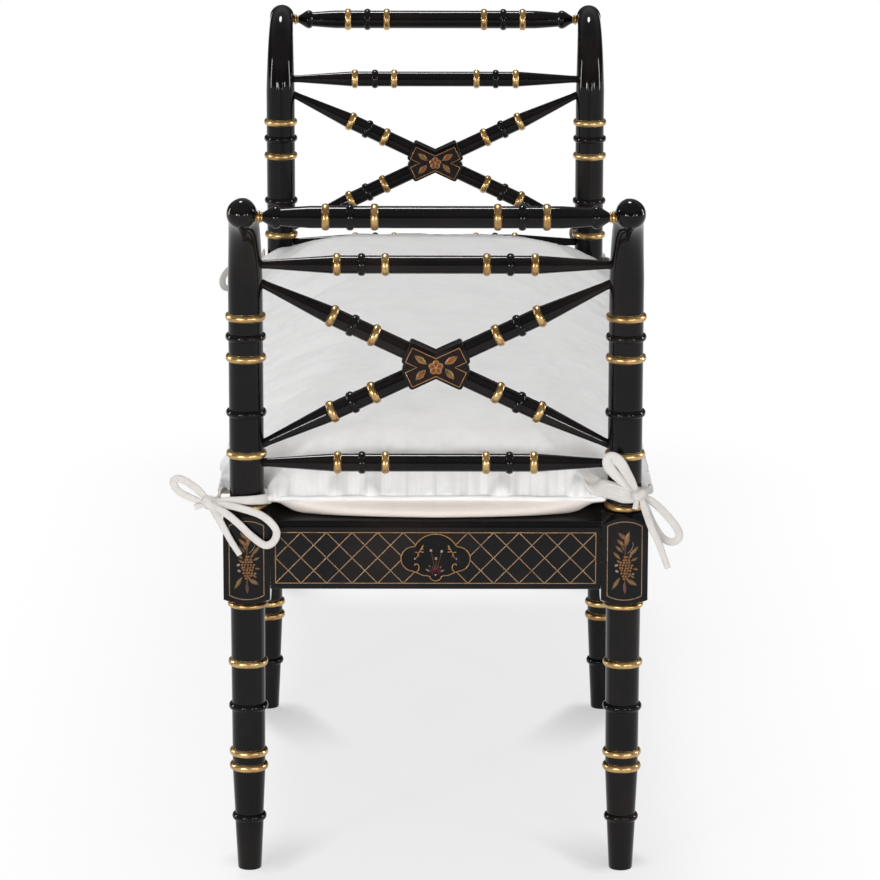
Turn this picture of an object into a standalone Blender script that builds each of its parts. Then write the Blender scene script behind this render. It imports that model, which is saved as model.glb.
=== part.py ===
# A long window bench in black lacquer and gilt, with two scroll arms and a tied seat cushion.
# Metres, +Z up. X runs along the seat, Y across it, and the origin is on the floor under the middle.
import math

import bmesh
import bpy
from mathutils import Matrix, Vector
from mathutils.geometry import interpolate_bezier

# Plan, heights and the gap between touching pieces
LEG_SPACING_LENGTH = 1.259
LEG_SPACING_DEPTH = 0.420
SEAT_HEIGHT = 0.411
FIT = 0.0003

# Square blocks at the tops of the legs
BLOCK_SIDE = 0.052
BLOCK_RISE = 0.0085
BLOCK_DROP = 0.097
UPPER_SHOULDER = 0.013
LOWER_SHOULDER = 0.008

# Turned legs, with ring and taper places as shares of the turned height
LEG_RADIUS = 0.0192
LEG_WAIST_RADIUS = 0.0184
FOOT_RADIUS = 0.0134
FOOT_EASE = 0.002
LEG_TAPER_SHARE = 0.366
LEG_RING_SHARES = (0.783, 0.618, 0.446, 0.392, 0.200)

# Turned rings
RING_WIDTH = 0.0084
RING_PROUD = 0.0034
STICK_RING_WIDTH = 0.0082
STICK_RING_PROUD = 0.0026

# Arm posts, with ring places as shares of the run from the lowest ring to the sweep
POST_RADIUS = 0.0192
POST_TENON_RADIUS = 0.0110
POST_TENON_LENGTH = 0.020
POST_RING_OVER_RAIL = 0.0107
POST_RING_SHARES = (0.250, 0.551, 0.666, 0.780)
SWEEP_RADIUS = 0.0834
SWEEP_END_RADIUS = 0.0150
SWEEP_OVERLAP = 0.004
BALL_RADIUS = 0.0166

# Rails of the arms, with heights above the seat
ROLL_RISE = 0.355
UPPER_RAIL_RISE = 0.286
LOWER_RAIL_RISE = 0.0615
ROLL_RADIUS = 0.0121
ROLL_COLLAR_RADIUS = 0.0125
ROLL_WAIST_RADIUS = 0.0099
RAIL_RADIUS = 0.0101
TIP_RADIUS = 0.0049
TIP_DEPTH = 0.011
TIP_RUN = 0.006

# Turning layout of the rails, as shares of the half depth between post axes
RAIL_RING_SHARES = (0.519, 0.390, 0.266)
ROLL_RING_SHARES = (0.569, 0.443, 0.317)
ROLL_NECK_SHARE = 0.889
ROLL_COLLAR_SHARE = 0.824
ROLL_WAIST_SHARES = (0.799, 0.745)
ROLL_FULL_SHARE = 0.648

# Crossed spindles and their centre block
SPINDLE_RADIUS = 0.0102
SPINDLE_END_GAP = 0.022
SPINDLE_RING_SHARES = (0.515, 0.372, 0.223)
SPINDLE_TENON_RADIUS = 0.005
SPINDLE_TENON_LENGTH = 0.012
CROSS_REACH = 0.037
CROSS_WIDTH = 0.026
CROSS_THICKNESS = 0.025

# Seat frame
RAIL_THICKNESS = 0.024
RAIL_SET_BACK = 0.003
RAIL_HEIGHT = 0.078
RAIL_EDGE_RADIUS = 0.008
RAIL_TENON_THICKNESS = 0.010
RAIL_TENON_HEIGHT = 0.046
RAIL_TENON_LENGTH = 0.018
TENON_CLEARANCE = 0.0085
DECK_THICKNESS = 0.012
CLEAT_WIDTH = 0.016
CLEAT_HEIGHT = 0.020
CROSS_RAIL_WIDTH = 0.040
CROSS_RAIL_HEIGHT = 0.055

# Seat cushion
CUSHION_CROWN = 0.089
CUSHION_SEAM_RISE = 0.023
CUSHION_EDGE_HALF = 0.010
CUSHION_OVERHANG = 0.006
CUSHION_END_REACH = 0.012
CUSHION_POST_GAP = 0.003
CUSHION_COLUMN_SHARES = (0.0, 0.35, 0.68, 0.90, 0.965)
CUSHION_ROW_SHARES = (0.0, 0.55, 0.92)
CUSHION_BORDER_SHARE = 0.6
CUSHION_END_POWER = 8
CUSHION_SIDE_POWER = 5

# Cloth ties
TIE_WIDTH = 0.0115
TIE_THICKNESS = 0.0045
TIE_END_SHARE = 0.55
KNOT_RADII = (0.0085, 0.0095, 0.0085)

# Facets, and the distance under which points are one
LEG_STEPS = 10
POST_STEPS = 10
STICK_STEPS = 8
SWEEP_STEPS = 6
RAIL_EDGE_STEPS = 4
TIE_STEP = 0.013
TIE_SIDES = 6
WELD = 0.00001

# Heights and half spans that follow from the sizes above
HALF_LENGTH = LEG_SPACING_LENGTH / 2
HALF_DEPTH = LEG_SPACING_DEPTH / 2
HALF_BLOCK = BLOCK_SIDE / 2
BLOCK_TOP = SEAT_HEIGHT + BLOCK_RISE
BLOCK_BOTTOM = SEAT_HEIGHT - BLOCK_DROP
BLOCK_CORNER = (HALF_BLOCK * math.sqrt(2) + FIT) / math.cos(math.pi / LEG_STEPS)
ROLL_HEIGHT = SEAT_HEIGHT + ROLL_RISE
UPPER_RAIL_HEIGHT = SEAT_HEIGHT + UPPER_RAIL_RISE
LOWER_RAIL_HEIGHT = SEAT_HEIGHT + LOWER_RAIL_RISE
SWEEP_START = ROLL_HEIGHT - SWEEP_RADIUS
CROSS_HEIGHT = (UPPER_RAIL_HEIGHT + LOWER_RAIL_HEIGHT) / 2
SPINDLE_RISE = (UPPER_RAIL_HEIGHT - LOWER_RAIL_HEIGHT) / 2 - SPINDLE_END_GAP
POST_FACE = HALF_DEPTH - POST_RADIUS
SPINDLE_ANGLE = math.atan2(SPINDLE_RISE, POST_FACE)
SPINDLE_REACH = math.hypot(SPINDLE_RISE, POST_FACE)
RAIL_OUTER = HALF_BLOCK - RAIL_SET_BACK
RAIL_MIDDLE = RAIL_OUTER - RAIL_THICKNESS / 2
RAIL_INNER = RAIL_OUTER - RAIL_THICKNESS
TENON_CENTRE = BLOCK_TOP - POST_TENON_LENGTH - TENON_CLEARANCE - RAIL_TENON_HEIGHT / 2
DECK_BOTTOM = SEAT_HEIGHT - DECK_THICKNESS

ENDS = {"left": -1, "right": 1}
SIDES = {"front": -1, "back": 1}
UP = Vector((0, 0, 1))

# The parts go in one collection, cutters and helper shapes in another
for old in list(bpy.data.objects):
    bpy.data.objects.remove(old, do_unlink=True)
bench = bpy.data.collections.new("window_bench")
cutters = bpy.data.collections.new("cutters")
bpy.context.scene.collection.children.link(bench)
bpy.context.scene.collection.children.link(cutters)


def make_material(name, colour, roughness, metallic=0.0):
    made = bpy.data.materials.new(name)
    made.use_nodes = True
    shader = made.node_tree.nodes["Principled BSDF"]
    shader.inputs["Base Color"].default_value = (*colour, 1.0)
    shader.inputs["Roughness"].default_value = roughness
    shader.inputs["Metallic"].default_value = metallic
    return made


LACQUER = make_material("black_lacquer", (0.012, 0.010, 0.011), 0.12)
CLOTH = make_material("off_white_cloth", (0.80, 0.78, 0.75), 0.90)
BOARD = make_material("stained_board", (0.06, 0.045, 0.035), 0.60)


def add_part(name, data, finish):
    part = bpy.data.objects.new(name, data)
    bench.objects.link(part)
    data.materials.append(finish)
    return part


def add_helper(name, data):
    """A cutter or a shape to be joined: it is hidden and takes no place among the parts."""
    helper = bpy.data.objects.new(name, data)
    cutters.objects.link(helper)
    helper.hide_render = True
    helper.display_type = "WIRE"
    return helper


def combine(part, helper, operation):
    step = part.modifiers.new(helper.name, "BOOLEAN")
    step.operation = operation
    step.object = helper
    return step


def box_mesh(name, size):
    mesh = bpy.data.meshes.new(name)
    form = bmesh.new()
    bmesh.ops.create_cube(form, size=1.0, matrix=Matrix.Diagonal((*size, 1.0)))
    form.to_mesh(mesh)
    form.free()
    return mesh


def cylinder_helper(name, radius, start, end, sides):
    """A round cutter from one point to another."""
    mesh = bpy.data.meshes.new(name)
    form = bmesh.new()
    depth = (end - start).length
    bmesh.ops.create_cone(
        form, cap_ends=True, segments=sides, radius1=radius, radius2=radius, depth=depth
    )
    form.to_mesh(mesh)
    form.free()
    helper = add_helper(name, mesh)
    helper.rotation_mode = "QUATERNION"
    helper.rotation_quaternion = (end - start).to_track_quat("Z", "Y")
    helper.location = (start + end) / 2
    return helper


def turn(part, steps):
    """Turns a profile, drawn top to bottom at +X, about its own Z axis."""
    screw = part.modifiers.new("Turn", "SCREW")
    screw.steps = steps
    screw.render_steps = steps
    screw.use_merge_vertices = True
    screw.merge_threshold = WELD
    screw.use_smooth_shade = True


def profile_mesh(name, points):
    mesh = bpy.data.meshes.new(name)
    corners = [(radius, 0.0, height) for radius, height in points]
    mesh.from_pydata(corners, [(i, i + 1) for i in range(len(corners) - 1)], [])
    return mesh


def ring(height, radius, width=RING_WIDTH, proud=RING_PROUD):
    """Profile points of one turned ring, top to bottom."""
    return [
        (radius, height + width / 2),
        (radius + proud, height + width / 4),
        (radius + proud, height - width / 4),
        (radius, height - width / 2),
    ]


def stick_ring(height, radius):
    return ring(height, radius, STICK_RING_WIDTH, STICK_RING_PROUD)


# Legs: square stock with turned shoulders above and below, tapering to a round foot
def leg_radius(share):
    if share > LEG_TAPER_SHARE:
        way = (share - LEG_TAPER_SHARE) / (1 - LEG_TAPER_SHARE)
        return LEG_WAIST_RADIUS + (LEG_RADIUS - LEG_WAIST_RADIUS) * way
    return FOOT_RADIUS + (LEG_WAIST_RADIUS - FOOT_RADIUS) * share / LEG_TAPER_SHARE


def leg_profile(top):
    """top holds the points above the block's square stretch."""
    points = list(top)
    points.append((BLOCK_CORNER, BLOCK_BOTTOM + LOWER_SHOULDER))
    points.append((LEG_RADIUS + RING_PROUD, BLOCK_BOTTOM))
    points += ring(BLOCK_BOTTOM - RING_WIDTH / 2, LEG_RADIUS)[1:]
    for share in LEG_RING_SHARES:
        points += ring(BLOCK_BOTTOM * share, leg_radius(share))
    points.append((FOOT_RADIUS, FOOT_EASE))
    points.append((FOOT_RADIUS - FOOT_EASE, 0.0))
    points.append((0.0, 0.0))
    return points


def make_leg(name, place, top):
    leg = add_part(name, profile_mesh(name, leg_profile(top)), LACQUER)
    leg.location = place
    turn(leg, LEG_STEPS)
    size = (BLOCK_SIDE, BLOCK_SIDE, 2 * (BLOCK_TOP + BLOCK_SIDE))
    square = add_helper(name + "_square", box_mesh(name + "_square", size))
    square.location = place
    combine(leg, square, "INTERSECT")
    return leg


def make_block_clearance(name, place):
    """The room that the seat deck leaves for a block."""
    side = BLOCK_SIDE + 2 * FIT
    helper = add_helper(name, box_mesh(name, (side, side, BLOCK_SIDE)))
    helper.location = (place.x, place.y, SEAT_HEIGHT)
    return helper


corner_top = [
    (0.0, BLOCK_TOP),
    (POST_RADIUS + RING_PROUD, BLOCK_TOP),
    (BLOCK_CORNER, BLOCK_TOP - UPPER_SHOULDER),
]
middle_top = [(0.0, SEAT_HEIGHT), (BLOCK_CORNER, SEAT_HEIGHT)]
legs = {}
clearances = []
for side, y_sign in SIDES.items():
    for end, x_sign in (*ENDS.items(), ("middle", 0)):
        spot = Vector((x_sign * HALF_LENGTH, y_sign * HALF_DEPTH, 0.0))
        leg_name = f"leg_{side}_{end}"
        legs[side, end] = make_leg(leg_name, spot, corner_top if x_sign else middle_top)
        clearances.append(make_block_clearance(f"{leg_name}_clearance", spot))


# Arm posts: a ringed shaft tenoned into its block, sweeping outwards to a ball
def post_profile():
    lowest_ring = LOWER_RAIL_HEIGHT + POST_RING_OVER_RAIL
    points = [(0.0, SWEEP_START), (POST_RADIUS, SWEEP_START)]
    for share in sorted(POST_RING_SHARES, reverse=True):
        points += ring(lowest_ring + (SWEEP_START - lowest_ring) * share, POST_RADIUS)
    points += ring(lowest_ring, POST_RADIUS)
    points += ring(BLOCK_TOP + FIT + RING_WIDTH / 2, POST_RADIUS)
    points.append((POST_TENON_RADIUS, BLOCK_TOP + FIT))
    points.append((POST_TENON_RADIUS, BLOCK_TOP - POST_TENON_LENGTH))
    points.append((0.0, BLOCK_TOP - POST_TENON_LENGTH))
    return points


def tube_helper(name, points, radii):
    """A round tube through points, with a post's number of sides, made a closed mesh."""
    curve = bpy.data.curves.new(name, "CURVE")
    curve.dimensions = "3D"
    curve.bevel_depth = 1.0
    curve.bevel_resolution = POST_STEPS // 2 - 2
    curve.use_fill_caps = True
    line = curve.splines.new("POLY")
    line.points.add(len(points) - 1)
    for knot, point, radius in zip(line.points, points, radii):
        knot.co = (*point, 1.0)
        knot.radius = radius
    drawn = bpy.data.objects.new(name + "_line", curve)
    cutters.objects.link(drawn)
    bpy.context.view_layer.update()
    graph = bpy.context.evaluated_depsgraph_get()
    mesh = bpy.data.meshes.new_from_object(drawn.evaluated_get(graph))
    bpy.data.objects.remove(drawn)
    form = bmesh.new()
    form.from_mesh(mesh)
    bmesh.ops.remove_doubles(form, verts=form.verts, dist=WELD)
    bmesh.ops.recalc_face_normals(form, faces=form.faces)
    form.to_mesh(mesh)
    form.free()
    return add_helper(name, mesh)


def ball_helper(name, centre, radii, segments, rings):
    mesh = bpy.data.meshes.new(name)
    form = bmesh.new()
    bmesh.ops.create_uvsphere(
        form, u_segments=segments, v_segments=rings, radius=1.0, matrix=Matrix.Diagonal((*radii, 1.0))
    )
    form.to_mesh(mesh)
    form.free()
    helper = add_helper(name, mesh)
    helper.location = centre
    return helper


def sweep_out(height):
    """How far the middle of a post has swept outwards at a height."""
    rise = max(0.0, height - SWEEP_START)
    return SWEEP_RADIUS - math.sqrt(SWEEP_RADIUS**2 - rise**2)


def make_post(name, x_sign, y_sign):
    axis = Vector((x_sign * HALF_LENGTH, y_sign * HALF_DEPTH, 0.0))
    post = add_part(name, profile_mesh(name, post_profile()), LACQUER)
    post.location = axis
    turn(post, POST_STEPS)
    line = [axis + UP * (SWEEP_START - SWEEP_OVERLAP)]
    radii = [POST_RADIUS - FIT]
    for step in range(SWEEP_STEPS + 1):
        share = step / SWEEP_STEPS
        angle = share * math.pi / 2
        out = x_sign * SWEEP_RADIUS * (1 - math.cos(angle))
        line.append(axis + Vector((out, 0.0, SWEEP_START + SWEEP_RADIUS * math.sin(angle))))
        radii.append(radii[0] + (SWEEP_END_RADIUS - radii[0]) * share)
    combine(post, tube_helper(name + "_sweep", line, radii), "UNION")
    ball = ball_helper(name + "_ball", line[-1], (BALL_RADIUS,) * 3, POST_STEPS, POST_STEPS - 2)
    combine(post, ball, "UNION")
    return post


posts = {}
for end, x_sign in ENDS.items():
    for side, y_sign in SIDES.items():
        post = make_post(f"arm_post_{side}_{end}", x_sign, y_sign)
        posts[side, end] = post
        foot = post.location + UP * (BLOCK_TOP - POST_TENON_LENGTH - FIT)
        mouth = post.location + UP * (BLOCK_TOP + HALF_BLOCK)
        socket_radius = POST_TENON_RADIUS + 2 * FIT
        socket = cylinder_helper(f"{post.name}_socket", socket_radius, foot, mouth, LEG_STEPS)
        combine(legs[side, end], socket, "DIFFERENCE")


# Rails of the arms: turned sticks whose slim tips sit in bores in the posts
def mirrored(half):
    """A full stick's profile from the points of its upper half."""
    return half + [(radius, -height) for radius, height in reversed(half)]


def rail_profile():
    tip = POST_FACE + TIP_DEPTH
    half = [(0.0, tip), (TIP_RADIUS, tip), (TIP_RADIUS, POST_FACE - TIP_RUN)]
    for share in RAIL_RING_SHARES:
        half += stick_ring(HALF_DEPTH * share, RAIL_RADIUS)
    return mirrored(half)


def roll_profile():
    tip = HALF_DEPTH - BALL_RADIUS + TIP_DEPTH
    half = [(0.0, tip), (TIP_RADIUS, tip), (TIP_RADIUS, HALF_DEPTH * ROLL_NECK_SHARE)]
    half.append((ROLL_COLLAR_RADIUS, HALF_DEPTH * ROLL_COLLAR_SHARE))
    half += [(ROLL_WAIST_RADIUS, HALF_DEPTH * share) for share in ROLL_WAIST_SHARES]
    half.append((ROLL_RADIUS, HALF_DEPTH * ROLL_FULL_SHARE))
    for share in ROLL_RING_SHARES:
        half += stick_ring(HALF_DEPTH * share, ROLL_RADIUS)
    return mirrored(half)


def bore_posts(end, name, start, direction):
    """Bores both posts of an arm where a stick's tips enter them."""
    for side, y_sign in SIDES.items():
        way = Vector((direction.x, direction.y * y_sign, direction.z))
        entry = Vector((start.x, start.y * y_sign, start.z))
        mouth = entry - way * TIP_RUN
        bottom = entry + way * (TIP_DEPTH + FIT)
        bore = cylinder_helper(f"{name}_{side}_bore", TIP_RADIUS + 2 * FIT, mouth, bottom, STICK_STEPS)
        combine(posts[side, end], bore, "DIFFERENCE")


def make_rail(name, end, x, height, profile, face):
    rail = add_part(name, profile_mesh(name, profile), LACQUER)
    turn(rail, STICK_STEPS)
    rail.rotation_euler = (math.pi / 2, 0.0, 0.0)
    rail.location = (x, 0.0, height)
    bore_posts(end, name, Vector((x, face, height)), Vector((0, 1, 0)))


for end, x_sign in ENDS.items():
    roll_x = x_sign * (HALF_LENGTH + SWEEP_RADIUS)
    upper_x = x_sign * (HALF_LENGTH + sweep_out(UPPER_RAIL_HEIGHT))
    lower_x = x_sign * HALF_LENGTH
    make_rail(f"roll_rail_{end}", end, roll_x, ROLL_HEIGHT, roll_profile(), HALF_DEPTH - BALL_RADIUS)
    make_rail(f"upper_rail_{end}", end, upper_x, UPPER_RAIL_HEIGHT, rail_profile(), POST_FACE)
    make_rail(f"lower_rail_{end}", end, lower_x, LOWER_RAIL_HEIGHT, rail_profile(), POST_FACE)


# Crossed spindles, tenoned into an X-shaped block at their crossing
def spindle_profile():
    tip = SPINDLE_REACH + TIP_DEPTH
    run = SPINDLE_REACH - CROSS_REACH
    points = [(0.0, tip), (TIP_RADIUS, tip), (TIP_RADIUS, SPINDLE_REACH - TIP_RUN)]
    for share in SPINDLE_RING_SHARES:
        points += stick_ring(CROSS_REACH + run * share, SPINDLE_RADIUS)
    points.append((SPINDLE_RADIUS, CROSS_REACH + FIT))
    points.append((SPINDLE_TENON_RADIUS, CROSS_REACH + FIT))
    points.append((SPINDLE_TENON_RADIUS, CROSS_REACH - SPINDLE_TENON_LENGTH))
    points.append((0.0, CROSS_REACH - SPINDLE_TENON_LENGTH))
    return points


def make_cross_block(name, centre):
    size = (CROSS_THICKNESS, 2 * CROSS_REACH, CROSS_WIDTH)
    block = add_part(name, box_mesh(name, size), LACQUER)
    block.location = centre
    block.rotation_euler = (SPINDLE_ANGLE, 0.0, 0.0)
    other_size = (CROSS_THICKNESS - 2 * FIT, 2 * CROSS_REACH, CROSS_WIDTH)
    other = add_helper(name + "_other_bar", box_mesh(name + "_other_bar", other_size))
    other.location = centre
    other.rotation_euler = (-SPINDLE_ANGLE, 0.0, 0.0)
    combine(block, other, "UNION")
    return block


for end, x_sign in ENDS.items():
    centre = Vector((x_sign * HALF_LENGTH, 0.0, CROSS_HEIGHT))
    cross = make_cross_block(f"cross_block_{end}", centre)
    for level, z_sign in (("lower", -1), ("upper", 1)):
        slope = Vector((0.0, math.cos(SPINDLE_ANGLE), z_sign * math.sin(SPINDLE_ANGLE)))
        bore_posts(end, f"spindle_{level}_{end}", centre + slope * SPINDLE_REACH, slope)
        for side, y_sign in SIDES.items():
            way = Vector((0.0, y_sign * slope.y, slope.z))
            spindle_name = f"spindle_{level}_{side}_{end}"
            spindle = add_part(spindle_name, profile_mesh(spindle_name, spindle_profile()), LACQUER)
            turn(spindle, STICK_STEPS)
            spindle.rotation_mode = "QUATERNION"
            spindle.rotation_quaternion = way.to_track_quat("Z", "X")
            spindle.location = centre
            inside = centre + way * (CROSS_REACH - SPINDLE_TENON_LENGTH - FIT)
            outside = centre + way * (CROSS_REACH + SPINDLE_RADIUS)
            socket_radius = SPINDLE_TENON_RADIUS + 2 * FIT
            socket = cylinder_helper(f"{spindle_name}_socket", socket_radius, inside, outside, STICK_STEPS)
            combine(cross, socket, "DIFFERENCE")


# Seat rails: an eased top edge outside, and one long tenon bar that shows at both ends
def prism_mesh(name, outline, length):
    """A flat outline in local X and Y, drawn out along local Z."""
    curve = bpy.data.curves.new(name, "CURVE")
    curve.dimensions = "2D"
    curve.fill_mode = "BOTH"
    curve.extrude = length / 2
    line = curve.splines.new("POLY")
    line.points.add(len(outline) - 1)
    for knot, (across, height) in zip(line.points, outline):
        knot.co = (across, height, 0.0, 1.0)
    line.use_cyclic_u = True
    drawn = bpy.data.objects.new(name + "_outline", curve)
    cutters.objects.link(drawn)
    bpy.context.view_layer.update()
    graph = bpy.context.evaluated_depsgraph_get()
    mesh = bpy.data.meshes.new_from_object(drawn.evaluated_get(graph))
    bpy.data.objects.remove(drawn)
    form = bmesh.new()
    form.from_mesh(mesh)
    bmesh.ops.remove_doubles(form, verts=form.verts, dist=WELD)
    bmesh.ops.recalc_face_normals(form, faces=form.faces)
    form.to_mesh(mesh)
    form.free()
    return mesh


def rail_outline():
    bottom = SEAT_HEIGHT - RAIL_HEIGHT
    points = [(RAIL_INNER, bottom), (RAIL_OUTER, bottom)]
    for step in range(RAIL_EDGE_STEPS + 1):
        angle = step / RAIL_EDGE_STEPS * math.pi / 2
        across = RAIL_OUTER - RAIL_EDGE_RADIUS * (1 - math.cos(angle))
        points.append((across, SEAT_HEIGHT - RAIL_EDGE_RADIUS * (1 - math.sin(angle))))
    points.append((RAIL_INNER, SEAT_HEIGHT))
    return points


def facing(outward):
    """A turn that points local X outwards and local Y up."""
    return Matrix((outward, UP, outward.cross(UP))).transposed().to_4x4()


def make_seat_rail(name, middle, outward, span, carriers):
    """middle is on the line between leg axes, and span is the clear run between two blocks."""
    rail = add_part(name, prism_mesh(name, rail_outline(), span - 2 * FIT), LACQUER)
    rail.matrix_world = Matrix.Translation(middle) @ facing(outward)
    for suffix, grow, piece in (("tenons", 0.0, rail), ("mortises", FIT, None)):
        size = (
            RAIL_TENON_THICKNESS + 2 * grow,
            RAIL_TENON_HEIGHT + 2 * grow,
            span + 2 * (RAIL_TENON_LENGTH + grow),
        )
        bar = add_helper(f"{name}_{suffix}", box_mesh(f"{name}_{suffix}", size))
        bar_centre = middle + outward * RAIL_MIDDLE + UP * TENON_CENTRE
        bar.matrix_world = Matrix.Translation(bar_centre) @ facing(outward)
        if piece:
            combine(piece, bar, "UNION")
        else:
            for carrier in carriers:
                combine(carrier, bar, "DIFFERENCE")


end_span = LEG_SPACING_DEPTH - BLOCK_SIDE
side_span = HALF_LENGTH - BLOCK_SIDE
for end, x_sign in ENDS.items():
    make_seat_rail(
        f"end_seat_rail_{end}",
        Vector((x_sign * HALF_LENGTH, 0.0, 0.0)),
        Vector((x_sign, 0, 0)),
        end_span,
        [legs[side, end] for side in SIDES],
    )
    for side, y_sign in SIDES.items():
        make_seat_rail(
            f"side_seat_rail_{side}_{end}",
            Vector((x_sign * HALF_LENGTH / 2, y_sign * HALF_DEPTH, 0.0)),
            Vector((0, y_sign, 0)),
            side_span,
            [legs[side, end], legs[side, "middle"]],
        )


# Under the cushion: a lacquered deck on cleats, and a cross rail between the middle legs
def make_box(name, size, centre, finish):
    part = add_part(name, box_mesh(name, size), finish)
    part.location = centre
    return part


deck_size = (
    LEG_SPACING_LENGTH + 2 * (RAIL_INNER - FIT),
    LEG_SPACING_DEPTH + 2 * (RAIL_INNER - FIT),
    DECK_THICKNESS,
)
deck = make_box("seat_deck", deck_size, (0, 0, DECK_BOTTOM + DECK_THICKNESS / 2), LACQUER)
for clearance in clearances:
    combine(deck, clearance, "DIFFERENCE")

cleat_height = DECK_BOTTOM - FIT - CLEAT_HEIGHT / 2
cleat_inset = RAIL_INNER - FIT - CLEAT_WIDTH / 2
for end, x_sign in ENDS.items():
    make_box(
        f"deck_cleat_{end}",
        (CLEAT_WIDTH, end_span - 2 * FIT, CLEAT_HEIGHT),
        (x_sign * (HALF_LENGTH + cleat_inset), 0, cleat_height),
        BOARD,
    )
    for side, y_sign in SIDES.items():
        make_box(
            f"deck_cleat_{side}_{end}",
            (side_span - 2 * FIT, CLEAT_WIDTH, CLEAT_HEIGHT),
            (x_sign * HALF_LENGTH / 2, y_sign * (HALF_DEPTH + cleat_inset), cleat_height),
            BOARD,
        )

cross_centre = Vector((0, 0, DECK_BOTTOM - FIT - CROSS_RAIL_HEIGHT / 2))
cross_rail_size = (CROSS_RAIL_WIDTH, end_span - 2 * FIT, CROSS_RAIL_HEIGHT)
cross_rail = make_box("cross_rail", cross_rail_size, cross_centre, BOARD)
for suffix, grow in (("tenons", 0.0), ("mortises", FIT)):
    tenon_size = (
        RAIL_TENON_THICKNESS + 2 * grow,
        end_span + 2 * (RAIL_TENON_LENGTH + grow),
        CROSS_RAIL_HEIGHT / 2 + 2 * grow,
    )
    bar = add_helper(f"cross_rail_{suffix}", box_mesh(f"cross_rail_{suffix}", tenon_size))
    bar.location = cross_centre
    if grow:
        for side in SIDES:
            combine(legs[side, "middle"], bar, "DIFFERENCE")
    else:
        combine(cross_rail, bar, "UNION")


# Seat cushion: crowned, drawn in to a seam all round, and notched for the posts
def both_ways(half):
    """Grid lines of one half, from the middle line outwards, mirrored to both sides."""
    return [-value for value in reversed(half[1:])] + half


def make_cushion(name):
    body = HALF_LENGTH - POST_RADIUS - CUSHION_POST_GAP
    reach = HALF_LENGTH + CUSHION_END_REACH
    tongue = POST_FACE - CUSHION_POST_GAP
    width = HALF_DEPTH + HALF_BLOCK + CUSHION_OVERHANG
    border = tongue + (width - tongue) * CUSHION_BORDER_SHARE
    columns = both_ways([share * body for share in CUSHION_COLUMN_SHARES] + [body, reach])
    rows = both_ways([share * tongue for share in CUSHION_ROW_SHARES] + [tongue, border, width])
    form = bmesh.new()
    bmesh.ops.create_grid(form, x_segments=len(columns) - 1, y_segments=len(rows) - 1, size=1.0)
    for vert in form.verts:
        column = round((vert.co.x + 1) / 2 * (len(columns) - 1))
        row = round((vert.co.y + 1) / 2 * (len(rows) - 1))
        vert.co = (columns[column], rows[row], 0.0)
    notches = [
        face
        for face in form.faces
        if abs(face.calc_center_median().x) > body and abs(face.calc_center_median().y) > tongue
    ]
    bmesh.ops.delete(form, geom=notches, context="FACES")
    rim = {vert for vert in form.verts if vert.is_boundary}
    shape_of = {}
    for vert in form.verts:
        lengthwise = 1 - abs(vert.co.x / reach) ** CUSHION_END_POWER
        fall = lengthwise * (1 - abs(vert.co.y / width) ** CUSHION_SIDE_POWER)
        shape_of[vert] = 0.0 if vert in rim else fall
    grown = bmesh.ops.extrude_face_region(form, geom=list(form.faces))["geom"]
    tops = {vert for vert in grown if isinstance(vert, bmesh.types.BMVert)}
    places = {tuple(vert.co): fall for vert, fall in shape_of.items()}
    seam = SEAT_HEIGHT + CUSHION_SEAM_RISE
    for vert in form.verts:
        fall = places[tuple(vert.co)]
        if vert in tops:
            full = CUSHION_CROWN - CUSHION_SEAM_RISE - CUSHION_EDGE_HALF
            vert.co.z = seam + CUSHION_EDGE_HALF + full * fall
        else:
            vert.co.z = SEAT_HEIGHT + FIT if fall else seam - CUSHION_EDGE_HALF
    bmesh.ops.recalc_face_normals(form, faces=form.faces)
    mesh = bpy.data.meshes.new(name)
    form.to_mesh(mesh)
    form.free()
    cushion = add_part(name, mesh, CLOTH)
    soft = cushion.modifiers.new("Soft form", "SUBSURF")
    soft.levels = 1
    soft.render_levels = 1


make_cushion("seat_cushion")


# Ties: flat cloth straps from the cushion's corners, tied round the posts in bows.
# Each point is outwards along the bench, outwards across it, and above the seat, from a post's axis.
FRONT_KNOT = (0.016, 0.040, 0.019)
FRONT_ROUTES = {
    "end_strap": [
        (0.0071, -0.0268, 0.0226), (0.0130, -0.0235, 0.0234), (0.0190, -0.0165, 0.0238),
        (0.0235, -0.0030, 0.0240), (0.0220, 0.0130, 0.0235), (0.0170, 0.0360, 0.0200),
    ],
    "side_strap": [
        (-0.0250, 0.0256, 0.0247), (-0.0120, 0.0300, 0.0240), (0.0020, 0.0330, 0.0220),
        (0.0140, 0.0380, 0.0200),
    ],
    "high_loop": [
        (0.0120, 0.0430, 0.0220), (0.0130, 0.0570, 0.0360), (0.0110, 0.0720, 0.0450),
        (0.0100, 0.0810, 0.0430), (0.0120, 0.0770, 0.0330), (0.0160, 0.0640, 0.0260),
        (0.0190, 0.0440, 0.0170),
    ],
    "low_loop": [
        (0.0150, 0.0360, 0.0200), (0.0265, 0.0090, 0.0165), (0.0305, -0.0180, 0.0080),
        (0.0325, -0.0330, -0.0070), (0.0325, -0.0310, -0.0200), (0.0325, -0.0210, -0.0250),
        (0.0325, -0.0065, -0.0150), (0.0320, 0.0090, 0.0000), (0.0290, 0.0220, 0.0100),
        (0.0220, 0.0360, 0.0150),
    ],
    "long_tail": [
        (0.0200, 0.0380, 0.0150), (0.0300, 0.0290, 0.0020), (0.0320, 0.0170, -0.0200),
        (0.0315, 0.0060, -0.0380),
    ],
    "short_tail": [(0.0170, 0.0420, 0.0180), (0.0200, 0.0510, 0.0170), (0.0210, 0.0590, 0.0150)],
}
BACK_KNOT = (0.028, 0.015, 0.033)
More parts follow.
